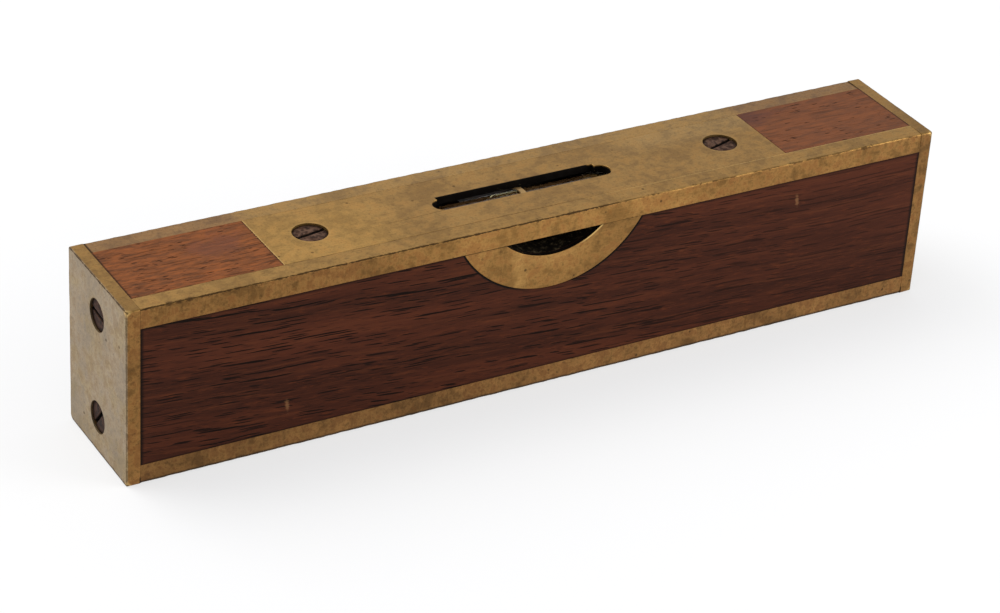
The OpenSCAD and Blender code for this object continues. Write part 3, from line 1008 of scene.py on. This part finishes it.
def wood_soil_and_gap_shade(x, z, top):
    """Dirt along the joints with the brass, and painted shade round the sight plates and by the end plates."""
    along_bars = z.step(TOP - 0.8 - BAR_LEG, TOP - 0.1 - BAR_LEG).most(z.step(BAR_LEG + 0.7, BAR_LEG))
    ring = far(x, z - SIGHT_CENTRE_Z).step(SIGHT_SEAT + 0.35, SIGHT_SEAT) * abs(x).step(3, 12)
    ends = abs(x).step(END_GRAIN - 1.1, END_GRAIN - 0.2)
    soil_and_shade = (along_bars * 0.6).most(ends * 0.85).most(ring) * (1 - top)
    soil_and_shade = soil_and_shade.most(abs(x).step(PLATE_HALF + 0.45, PLATE_HALF + 0.1) * top * (0.15 + x.step(10, -10) * 0.45))
    return soil_and_shade.most(abs(x).step(END_GRAIN - 0.55, END_GRAIN - 0.2) * top * 0.7)


def rosewood():
    material, place = new_finish("rosewood")
    x, y, z = axes(place)
    top = z.step(TOP - 0.5, TOP - 0.2)
    grain = grain_place(place, x, y, z)
    pores = wood_pores(place, grain, x, top)
    bands = grain.stretch(0.006, 0.16, 0.16).noise(1, detail=5, rough=0.6).step(0.36, 0.66)
    streaks = grain.stretch(0.02, 0.9, 0.9).noise(1, detail=5, rough=0.65, shift=31)
    light_streaks = streaks.step(0.5, 0.72)
    dark_streaks = streaks.step(0.48, 0.28)
    flecks = grain.stretch(0.22, 1.7, 1.7).noise(1, rough=0.7, shift=83).step(0.52, 0.72)
    fibres = grain.stretch(0.12, 5, 5).noise(1, detail=3, rough=0.7, shift=57)
    patches = place.stretch(0.3, 1.2, 1.2).noise(0.7, detail=6, rough=0.7, shift=113)
    body = layered(
        bands.blend(rgb(53, 26, 17), rgb(76, 38, 24)),
        (light_streaks * 0.5, rgb(98, 53, 31)),
        (dark_streaks * 0.55, rgb(40, 20, 14)),
        (flecks * 0.45, rgb(106, 54, 29)),
        (fibres.step(0.35, 0.7) * 0.3, rgb(80, 42, 26)),
    )
    faded = layered(
        patches.step(0.36, 0.64).blend(rgb(98, 61, 38), rgb(136, 79, 43)),
        (light_streaks * 0.45, rgb(152, 86, 42)),
        (dark_streaks * 0.4, rgb(88, 53, 37)),
        (flecks * 0.4, rgb(158, 90, 44)),
        (x.step(0, 70) * 0.45, rgb(98, 62, 46)),
    )

    cloud = place.noise(0.16, detail=5, rough=0.65, shift=91) - 0.5
    bruise = abs((x - BRUISE[0]) * 0.09) + abs((y - BRUISE[1]) * 0.16) + cloud
    pink = abs((x - PINK_PATCH[0]) * 0.09) + abs((y - PINK_PATCH[1]) * 0.13) + cloud * 3
    colour = layered(
        top.blend(body, faded),
        (pores * (0.97 - top * 0.15), rgb(19, 12, 9)),
        (bruise.step(1.0, 0.2) * top * 0.6, rgb(78, 50, 46)),
        (pink.step(1.1, 0.2) * top * 0.5, rgb(112, 68, 52)),
    )
    for scuff_x, scuff_z in SCUFFS:
        off_x = (x - scuff_x) + (z - scuff_z) * 0.12
        scuff = far(off_x, (z - scuff_z) * 0.3) + (fibres - 0.5) * 1.5
        colour = (scuff.step(0.6, 0.1) * (1 - top) * 0.4).blend(colour, rgb(156, 112, 74))

    # Inside the holes the wood is painted dark as shade, with dust on the faces that look up.
    inside = abs(y).step(SIGHT_SEAT_Y, SIGHT_SEAT_Y - 0.1) * z.step(TOP - 0.3, TOP - 0.6) * z.step(0.3, 0.6)
    dust = place.noise(0.7, detail=8, rough=0.75).step(0.5, 0.7) * facing_up(place).step(0.2, 0.8)
    colour = layered(
        colour,
        (wood_soil_and_gap_shade(x, z, top), rgb(17, 12, 9)),
        (inside, dust.blend(rgb(17, 13, 9), rgb(92, 82, 62))),
    )
    height = fibres * 0.12 - pores * 0.9
    rough = 0.36 + fibres * 0.16 + pores * 0.3 + inside * 0.3
    return finish(material, {"Base Color": colour, "Roughness": rough, "Normal": height.bump(0.5, 0.06),
                             "Specular IOR Level": 0.05})


rosewood_finish = rosewood()
print("rosewood nodes:", len(rosewood_finish.node_tree.nodes))

# %% [markdown]
# ## Aged brass
# The brass was never lacquered. It has gone a dull olive gold with brown blotches, fine strokes left by
# polishing, dark specks, dirt in the joints and painted dark lines along the worn edges. One field of patterns
# serves all the pieces, so that bars, plate and sight match where they meet. Each piece gives its tones, the
# masks of the faces that take other tones, where its dirt and painted shade are, and where its rubbed spots
# and painted highlights are. The strokes of polishing run along the level, or upright where the tones of a
# face say so.

# %% Aged brass
GRIME = rgb(62, 46, 28)
RUBBED_AND_GLINT = rgb(226, 188, 118)
DARKEST = 0.62


class Tones:
    """The colours of one brass face, how far its stain has spread, and whether its strokes are upright."""

    def __init__(self, light, dull, stain, spread, upright=False):
        self.light = rgb(*light)
        self.dull = rgb(*dull)
        self.stain = rgb(*stain)
        self.dark = rgb(*(part * DARKEST for part in dull))
        self.spread = spread
        self.upright = upright


def aged_brass(name, tones, layers=(), dirt_and_shade=(), rubbed_and_glint=None, shift=0):
    """Brass in one set of tones, with other sets laid over it where their masks say so."""
    material, place = new_finish(name)
    spot = (*axes(place), place)
    clouds = place.noise(0.09, detail=5, rough=0.6, shift=shift + 3)
    mottle = place.noise(0.42, detail=6, rough=0.65, shift=shift + 17)
    speckle = place.noise(2.6, detail=3, rough=0.7, shift=shift + 29)
    strokes_along = place.stretch(0.05, 1.6, 1.6).noise(2.2, rough=0.75, shift=shift + 41)
    strokes_upright = place.stretch(1.6, 1.6, 0.14).noise(1, detail=5, rough=0.75, shift=shift + 53)
    grit = place.noise(1.5, detail=5, rough=0.85, shift=shift + 67)
    spots = place.noise(0.8, detail=5, rough=0.7, shift=shift + 79)
    patches = clouds * 0.5 + mottle * 0.5
    blotch = (mottle * 0.65 + clouds * 0.35).step(0.48, 0.58)

    def coloured(face):
        strokes = strokes_upright if face.upright else strokes_along
        return layered(
            patches.step(0.40, 0.60).blend(face.dull, face.light),
            (blotch * face.spread, face.stain),
            (strokes.step(0.52, 0.74) * 0.4, face.dark),
            (strokes.step(0.46, 0.28) * 0.4, face.light),
            (spots.step(0.54, 0.64) * face.spread * 0.7, face.stain),
            (spots.step(0.44, 0.34) * face.spread * 0.55, face.dark),
            (grit.step(0.51, 0.68) * 0.5, face.dark),
        )

    colour = layered(coloured(tones), *((mask(*spot), coloured(face)) for mask, face in layers))
    pits = place.cells(0.3).step(0.13, 0.07)
    grime_and_shade = speckle.step(0.66, 0.74).most(pits * place.noise(0.12, shift=shift + 71).step(0.5, 0.6))
    colour = (grime_and_shade * 0.65).blend(colour, GRIME)
    # Rubbed spots and painted highlights take a pale gold and are less rough.
    polish_and_glint = 0
    if rubbed_and_glint:
        polish_and_glint = rubbed_and_glint(*spot)
        colour = polish_and_glint.blend(colour, RUBBED_AND_GLINT)
    # Dirt and painted shade each take their own dark colour.
    for mask, soil_and_shade in dirt_and_shade:
        darkened = mask(*spot)
        colour = darkened.blend(colour, soil_and_shade)
        grime_and_shade = grime_and_shade.most(darkened)

    height = strokes_along * 0.5 + mottle * 0.6 + speckle * 0.35 - grime_and_shade * 0.5
    rough = 0.36 + mottle * 0.18 + blotch * 0.1 + grime_and_shade * 0.25 - polish_and_glint * 0.16
    metal = 0.97 - blotch * 0.1 - grime_and_shade * 0.08
    return finish(material, {"Base Color": colour, "Roughness": rough, "Metallic": metal,
                             "Normal": height.bump(0.35, 0.03)})


print("brass function ready")

# %% [markdown]
# ## Where brass is worn and dirty, and where light is painted
# Hands and boxes have marked the level in the same places as any other: nicks on the upper front edge, dark
# joints, worn corners, and soot in the vial slot and round the screws. Other marks are painted light: a dark
# reflection on the upper front edge that breaks into dashes on the right, painted shade in dark lines round
# the rims and low on the left, and painted highlights on the corners, on the lip of the sight and on a joint.
# Each of these is a mask read from the place on the piece. The first masks are of whole faces, which take
# their own tones, and the lighter middle of the front bar among them is painted light.

# %% Masks of the faces
def upper_face(x, y, z, place):
    return z.step(TOP - 0.45, TOP - 0.15)


def upper_skin(z):
    """The upper face with a sharper rim, for its joints."""
    return z.step(TOP - 0.4, TOP - 0.2)


def end_face(x, y, z, place):
    return abs(x).step(END - 0.45, END - 0.2)


def end_tarnish(x, y, z, place):
    """Olive patches on the end faces, more of them low down."""
    patches = place.noise(0.13, detail=5, rough=0.65, shift=101) - z * 0.002
    return end_face(x, y, z, place) * patches.step(0.42, 0.54) * 0.65


def front_bar_painted_light(x, y, z, place):
    """Painted light on the front bar, from its middle on, less at the right end."""
    return x.step(-55, -12) * (1 - x.step(22, 50) * 0.6)


def plate_left(x, y, z, place):
    return x.step(-26, -44) * (1 - y.step(4, 10) * 0.5)


def plate_pale(x, y, z, place):
    """The paler right half of the plate, behind the slot."""
    return x.step(20, 40) * y.step(1, 7) * 0.7


def beside_plate(x, y, z, place):
    """The upper face of a bar where it lies along the plate and was filed flush with it."""
    return upper_face(x, y, z, place) * abs(x).step(PLATE_HALF + 3, PLATE_HALF - 3)


print("face masks ready")

# %% Masks of wear, dirt and painted light on the bars
NICKS = (-91.8, -89.9, -87.2)


def ragged_edge(place, x, y, z, shift):
    """Fine noise that makes a line ragged."""
    return place.stretch(x, y, z).noise(1, detail=5, rough=0.75, shift=shift)


def hairline(depth_a, depth_b, ragged, width):
    """A thin line along an edge, where the depths below its two faces are equal and small."""
    off_line = abs(depth_a - depth_b) + (ragged - 0.5) * 1.3
    return off_line.step(width * 1.7, width * 0.6) * (depth_a + depth_b).step(1.3, 0.8)


def bar_edge_reflection_and_nicks(x, y, z, place):
    """A painted dark reflection on the upper front edge, whole on the left, dashes on the right, with dents
    beside it.
    """
    ragged = ragged_edge(place, 0.5, 1, 1, shift=7)
    whole = x.step(34, 10)
    dashes = place.stretch(0.13, 0.02, 0.02).noise(1, rough=0.7, shift=11).step(0.52, 0.58) * 0.75
    nicks = place.stretch(0.3, 0.3, 0.3).noise(1, detail=5, rough=0.8, shift=37).step(0.57, 0.64)
    depth = y - FRONT + TOP - z
    nicks = nicks * (depth + (ragged - 0.5) * 1.2).step(1.0, 0.5)
    for nick in NICKS:
        nicks = nicks.most((far(x - nick, depth * 1.5) + (ragged - 0.5) * 2).step(1.5, 0.9))
    return (hairline(y - FRONT, TOP - z, ragged, 0.2) * whole.most(dashes)).most(nicks * 0.8) * 0.9


def sole_painted_shade(x, y, z, place):
    """Painted shade on the lower bars: a brown darkening, deeper on the left."""
    return x.step(60, -100) * 0.34 * place.noise(0.2, shift=43).step(0.2, 0.6)


def sole_line(x, y, z, place):
    """A dark line along the edge that stands on the bench."""
    return (z + place.noise(0.6, shift=47) * 0.3).step(1.15, 0.65) * 0.8


def plate_joint(x, y, z, place):
    """A thin brown line where the front bar meets the plate, on the left half."""
    ragged = place.stretch(0.3, 0.3, 0.3).noise(1, shift=51).step(0.3, 0.6)
    return abs(y - FRONT - BAR_LEG).step(0.35, 0.12) * upper_skin(z) * x.step(20, 0) * ragged * 0.5


def plate_joint_highlight(x, y, z, place):
    """The same joint painted bright on the right half, as a highlight."""
    return abs(y - FRONT - BAR_LEG).step(0.4, 0.15) * upper_skin(z) * x.step(5, 25) * 0.4


def back_bar_lines(x, y, z, place):
    """Dark joints where the back bar meets the end plates, and painted shade along its upper back edge."""
    joints = abs(x).step(END_GRAIN - 0.7, END_GRAIN - 0.25) * upper_skin(z) * 0.95
    ragged = ragged_edge(place, 0.5, 1, 1, shift=27)
    return joints.most(hairline(-FRONT - y, TOP - z, ragged, 0.3) * 0.6)


print("bar masks ready")

# %% Masks of wear, dirt and painted light on the ends and the sights
def end_lines(x, y, z, place):
    """A painted dark reflection on the upper edge, painted shade down the front and along the lower edge, a
    dark joint at its foot, and a cast on its top.
    """
    ragged = ragged_edge(place, 0.6, 0.6, 0.6, shift=19)
    upper = hairline(END - abs(x), TOP - z, ragged, 0.2) * 0.8
    lower = hairline(END - abs(x), z, ragged, 0.5) * 0.8
    joint = abs(x).step(END_GRAIN + 0.3, END_GRAIN + 0.1) * z.step(2.2, 1.4)
    front = hairline(END - abs(x), y - FRONT, ragged, 0.2) * 0.45
    cast = upper_face(x, y, z, place) * (0.13 + y.step(0, -11) * 0.22)
    return upper.most(lower).most(joint).most(front).most(cast)


def end_corners_worn_and_glint(x, y, z, place):
    """Bright upper and lower front corners: worn, and with a painted highlight."""
    edge = END - abs(x) + y - FRONT
    return (edge + TOP - z).step(2.0, 0.8).most((edge + z).step(2.0, 0.8)) * 0.8


def end_screw_soot(x, y, z, place):
    return off_end_screws(x, y, z).step(end_head + 0.13, end_head + 0.06)


def sight_lip_glint(x, y, z, place):
    """A painted highlight: a bright lip on the right of the crescent."""
    rim = far(x, z - SIGHT_CENTRE_Z).step(SIGHT_HOLE + 0.45, SIGHT_HOLE + 0.25)
    return rim * x.step(6, 9) * (y - FRONT).step(0.3, 0.1) * 0.9


def sight_wall(x, y, z, place):
    """Soot on the wall of the sight hole."""
    rim = far(x, z - SIGHT_CENTRE_Z).step(SIGHT_HOLE + 0.17, SIGHT_HOLE + 0.05)
    return rim * (y - FRONT).step(0.05, 0.2)


def sight_glint(x, y, z, place):
    """A bright upright band on the left of the sight, and brighter metal below the crescent."""
    band = abs(x + 8.4 + (place.noise(0.4, shift=87) - 0.5) * 5).step(2.6, 0.4)
    rim = far(x + 1, z - SIGHT_CENTRE_Z).step(SIGHT_HOLE + 3.7, SIGHT_HOLE + 0.7)
    return (band * 0.55).most(rim * abs(x + 1).step(9, 3) * 0.3)


def sight_smear(x, y, z, place):
    """A dull upright smear on the left of the sight, a dirty joint below the bar, and a cast all over."""
    streaks = place.stretch(2, 2, 0.1).noise(1, shift=77).step(0.35, 0.6)
    smear = abs(x + 12.7).step(2.0, 0.6) * streaks
    joint = z.step(TOP - BAR_LEG - 0.3, TOP - BAR_LEG - 0.1) * x.step(20, 10)
    return (smear * 0.22).most(joint * 0.6).most(0.09 + x.step(0, 22) * 0.12)


print("end and sight masks ready")

# %% Masks of wear, dirt and painted light on the top plate
def slot_soot(x, y, z, place):
    """Black inside the vial slot, and on its back edge but for the right end."""
    ragged = place.noise(0.8, shift=23) * 0.3
    back_edge = y.step(SLOT_HALF - 0.2, SLOT_HALF) * y.step(SLOT_HALF + 0.2, SLOT_HALF + 0.15)
    sawn_back = back_edge * x.step(SLOT_LEFT - 0.2, SLOT_LEFT - 0.1) * x.step(19.0, 18.0)
    depth = TOP - z - ragged + sawn_back * 0.5
    in_length = abs(x).step(SLOT_HALF_LENGTH + 0.7, SLOT_HALF_LENGTH + 0.5)
    return in_length * abs(y).step(SLOT_HALF + 0.6, SLOT_HALF + 0.4) * depth.step(0.05, 0.3)


def top_screw_soot(x, y, z, place):
    return off_top_screws(x, y, z).step(top_head + 0.13, top_head + 0.06)


def plate_wear_and_highlight(x, y, z, place):
    """A pale rim round the screws, and a painted highlight on the left end of the plate."""
    left_end = x.step(-PLATE_HALF + 0.35, -PLATE_HALF + 0.15)
    rims = off_top_screws(x, y, z).step(top_head + 0.9, top_head + 0.3)
    return (rims * 0.1).most(left_end * 0.5)


print("plate masks ready")

# %% [markdown]
# ## The brass of each piece
# Each piece now gets its tones and its masks. A set of tones has a light, a dull and a stained colour.

# %% Brass of each piece
SOOT = rgb(20, 15, 11)
# Old polish in the joints, also used for painted shade and painted dark reflections.
OLD_POLISH_AND_SHADE = rgb(60, 41, 21)
# The colour of the dark line along the sole's edge.
SOLE_EDGE_DARK = rgb(52, 43, 31)

gold_top = Tones((190, 149, 85), (156, 119, 66), (142, 102, 56), spread=0.4)
gold_back = Tones((180, 139, 89), (143, 108, 71), (126, 92, 60), spread=0.5)
gold_flush = Tones((194, 154, 91), (160, 125, 75), (144, 108, 63), spread=0.4)
gold_pale = Tones((198, 160, 100), (164, 132, 84), (150, 116, 72), spread=0.4)
gold_left = Tones((204, 160, 89), (174, 134, 71), (158, 115, 60), spread=0.4)
gold_side = Tones((168, 124, 70), (110, 79, 43), (118, 76, 37), spread=0.7, upright=True)
gold_bright = Tones((186, 141, 79), (136, 100, 54), (142, 94, 47), spread=0.6)
gold_glint = Tones((222, 176, 104), (186, 143, 82), (164, 116, 62), spread=0.4)
gold_low = Tones((176, 130, 75), (112, 80, 45), (118, 77, 40), spread=0.7, upright=True)
gold_index = Tones((214, 178, 122), (186, 150, 98), (150, 112, 66), spread=0.3)
grey_end = Tones((182, 161, 130), (144, 126, 101), (130, 106, 80), spread=0.45)
olive_end = Tones((180, 156, 112), (144, 123, 84), (124, 98, 64), spread=0.5)

brass_low_bars = aged_brass(
    "aged_brass_low_bars", gold_low, dirt_and_shade=[(sole_painted_shade, OLD_POLISH_AND_SHADE), (sole_line, SOLE_EDGE_DARK)])
brass_front_bar = aged_brass(
    "aged_brass_front_bar", gold_side, [(front_bar_painted_light, gold_bright), (upper_face, gold_top)],
    dirt_and_shade=[(bar_edge_reflection_and_nicks, OLD_POLISH_AND_SHADE), (plate_joint, OLD_POLISH_AND_SHADE)], rubbed_and_glint=plate_joint_highlight)
brass_back_bar = aged_brass(
    "aged_brass_back_bar", gold_side, [(upper_face, gold_back), (beside_plate, gold_flush)],
    dirt_and_shade=[(back_bar_lines, OLD_POLISH_AND_SHADE)])
brass_plate = aged_brass(
    "aged_brass_plate", gold_top, [(plate_left, gold_left), (plate_pale, gold_pale)],
    dirt_and_shade=[(slot_soot, SOOT), (top_screw_soot, SOOT)], rubbed_and_glint=plate_wear_and_highlight)
brass_fittings = aged_brass("aged_brass_fittings", gold_side, shift=401)
brass_index = aged_brass("aged_brass_index", gold_index)
brass_sight = aged_brass(
    "aged_brass_sight", gold_bright, [(sight_glint, gold_glint)],
    dirt_and_shade=[(sight_smear, OLD_POLISH_AND_SHADE), (sight_wall, SOOT)], rubbed_and_glint=sight_lip_glint)
brass_ends = aged_brass(
    "aged_brass_ends", gold_side, [(upper_face, gold_top), (end_face, grey_end), (end_tarnish, olive_end)],
    dirt_and_shade=[(end_lines, OLD_POLISH_AND_SHADE), (end_screw_soot, SOOT)], rubbed_and_glint=end_corners_worn_and_glint)
print("brass finishes made")

# %% [markdown]
# ## Steel and plaster
# The screws are dark with age, browned where rust has bitten and black in the slot, with painted shade round
# the rim of each head, and the end screws are painted darker as shade. The cradle of the vial is blackened,
# the hidden pin, spring and adjusting screw are bright, and the vial's ends sit in plaster.

# %% Steel and plaster
BROWNED_EDGE = (0.7, 0.66, 0.65, 1)


def dark_steel(name, off_axis, head, light, dark):
    """Old steel screws, black in the slot, with painted shade round the rim of the head."""
    material, place = new_finish(name)
    mottle = place.noise(0.9, detail=6, rough=0.65)
    rust = place.noise(0.6, shift=29).step(0.45, 0.65)
    pits = place.noise(4.5, detail=3, rough=0.7, shift=13).step(0.58, 0.7)
    # Painted shade: the rim of each head darkens where it sits in its countersink.
    rim = off_axis(*axes(place)).step(head - 1.1, head - 0.1)
    slot = place.node("Attribute", out="Fac", attribute_name="depth").step(0.1, 0.4)
    colour = layered(
        mottle.step(0.4, 0.6).blend(dark, light),
        (rust * 0.6, rgb(78, 52, 38)),
        (pits * 0.6, rgb(28, 22, 19)),
        (rim * 0.75, rgb(24, 18, 15)),
        (slot, rgb(18, 14, 12)),
    )
    return finish(material, {"Base Color": colour, "Roughness": 0.4 + mottle * 0.2 + slot * 0.2,
                             "Metallic": 0.9 - slot * 0.5, "Specular Tint": BROWNED_EDGE,
                             "Normal": (mottle - pits).bump(0.5, 0.03)})


def bright_steel():
    material, place = new_finish("bright_steel")
    lines = place.stretch(0.6, 0.6, 6).noise(2, detail=3)
    colour = lines.step(0.3, 0.7).blend(rgb(128, 122, 114), rgb(168, 162, 152))
    return finish(material, {"Base Color": colour, "Roughness": 0.28 + lines * 0.2, "Metallic": 1.0,
                             "Normal": lines.bump(0.3, 0.02)})


def japanned_steel():
    material, place = new_finish("japanned_steel")
    skin = place.noise(1.4)
    worn = place.noise(0.5, detail=6, rough=0.7, shift=19).step(0.62, 0.72)
    colour = worn.blend(rgb(26, 24, 23), rgb(84, 70, 58))
    return finish(material, {"Base Color": colour, "Roughness": 0.3 + skin * 0.2 + worn * 0.2,
                             "Normal": (skin - worn * 0.6).bump(0.3, 0.03)})


def plaster():
    material, place = new_finish("plaster")
    grit = place.noise(3, detail=6, rough=0.7)
    colour = grit.step(0.3, 0.7).blend(rgb(168, 158, 138), rgb(212, 204, 188))
    return finish(material, {"Base Color": colour, "Roughness": 0.8 + grit * 0.15,
                             "Normal": grit.bump(0.6, 0.08)})


top_screw_steel = dark_steel("dark_steel_top", off_top_screws, top_head, rgb(124, 95, 78), rgb(62, 45, 37))
# The end screws take darker tones than the top screws, as painted shade.
shaded_end_screw_steel = dark_steel("dark_steel_ends_shaded", off_end_screws, end_head, rgb(84, 60, 50), rgb(28, 20, 17))
bright_steel_finish = bright_steel()
japanned_finish = japanned_steel()
plaster_finish = plaster()
print("steel and plaster made")

# %% [markdown]
# ## Glass, spirit and air
# Light bends where it enters the glass, a little where the glass meets the spirit, and again where the spirit
# meets the bubble. The bore of the glass and the skin of the bubble make the last two bends, so the spirit
# between them only tints. Dust lies on the upper side of the glass. A painted highlight runs round the bubble
# where the spirit climbs, over a faint painted sheen on the whole bubble.

# %% Glass, spirit and air
GLASS_INDEX = 1.5
SPIRIT_INDEX = 1.36
SAME_INDEX = 1.001
WAVE_SHADE = 0.93
DUST = rgb(140, 100, 60)
DUST_SHARE = 0.15
PAINTED_BUBBLE_SHEEN = rgb(224, 224, 210)
SHEEN_SHARE = 0.04
RIM_HIGHLIGHT_SHARE = 0.4


def clear(name, tint, index, roughness):
    """A clear finish with a trace of wave in it."""
    material, place = new_finish(name)
    haze = place.noise(1.2, shift=5)
    shaded = tuple(part * WAVE_SHADE for part in tint[:3]) + (1,)
    finish(material, {"Base Color": haze.step(0.3, 0.8).blend(tint, shaded),
                      "Roughness": roughness + haze.step(0.5, 0.8) * 0.08,
                      "IOR": index, "Transmission Weight": 1.0})
    return material, place


def vial_glass():
    """Glass whose bore is wet with spirit, with dust on its upper side."""
    material, place = clear("vial_glass", rgb(240, 243, 237), GLASS_INDEX, 0.02)
    _, y, z = axes(place)
    outer = (glass_high.y - glass_low.y) / MM / 2
    wall = GLASS_WALL / MM
    bore = far(y, z - vial_axis.z / MM).step(outer - wall * 0.4, outer - wall * 0.6)
    cover(material, bore, place.node("BsdfGlass", {"Roughness": 0, "IOR": GLASS_INDEX / SPIRIT_INDEX}))
    grit = place.noise(1.1, detail=3, rough=0.6, shift=61).step(0.2, 0.65)
    dusty = facing_up(place).step(0.1, 0.9) * grit * (1 - bore) * DUST_SHARE
    cover(material, dusty, place.node("BsdfDiffuse", {"Color": DUST}))
    return material


def trapped_air():
    """Air in spirit, with a painted highlight round it where the spirit climbs the glass, and a faint painted
    sheen.
    """
    material, place = clear("air", rgb(250, 252, 248), 1 / SPIRIT_INDEX, 0.0)
    above_spirit = axes(place)[2] - bubble_low.z / MM
    rim_highlight = above_spirit.step(1.1, 0.5) * facing_up(place).step(0.02, 0.2)
    cover(material, rim_highlight * RIM_HIGHLIGHT_SHARE + SHEEN_SHARE, place.node("BsdfDiffuse", {"Color": PAINTED_BUBBLE_SHEEN}))
    return material


glass_finish = vial_glass()
spirit_finish, _ = clear("spirit", rgb(240, 231, 184), SAME_INDEX, 0.0)
air_finish = trapped_air()
print("clear finishes made")

# %% [markdown]
# ## Dressing the pieces
# Every piece, new or from the frame, now takes its finish. A CAD node keeps its mesh and only its material
# changes.

# %% Give each piece its finish
finishes = {
    rosewood_finish: [nodes["stock"]],
    brass_front_bar: [bars["binding_top_front"]],
    brass_back_bar: [bars["binding_top_back"]],
    brass_low_bars: [bars["binding_bottom_front"], bars["binding_bottom_back"]],
    brass_ends: end_plates.values(),
    brass_sight: sights.values(),
    brass_plate: [top_plate],
    brass_index: [index_bar],
    brass_fittings: [nodes["hinge_bracket"], nodes["screw_hanger"], nodes["screw_collar"]],
    top_screw_steel: [screws["top_plate_screws"]],
    shaded_end_screw_steel: [screws["end_screws_left"], screws["end_screws_right"]],
    bright_steel_finish: [nodes["pivot_pin"], spring, adjuster],
    japanned_finish: [nodes["vial_cradle"]],
    plaster_finish: [nodes["plaster_left"], nodes["plaster_right"]],
    glass_finish: [vial],
    spirit_finish: [spirit],
    air_finish: [bubble],
}
for material, pieces in finishes.items():
    for piece in pieces:
        piece.data.materials.clear()
        piece.data.materials.append(material)
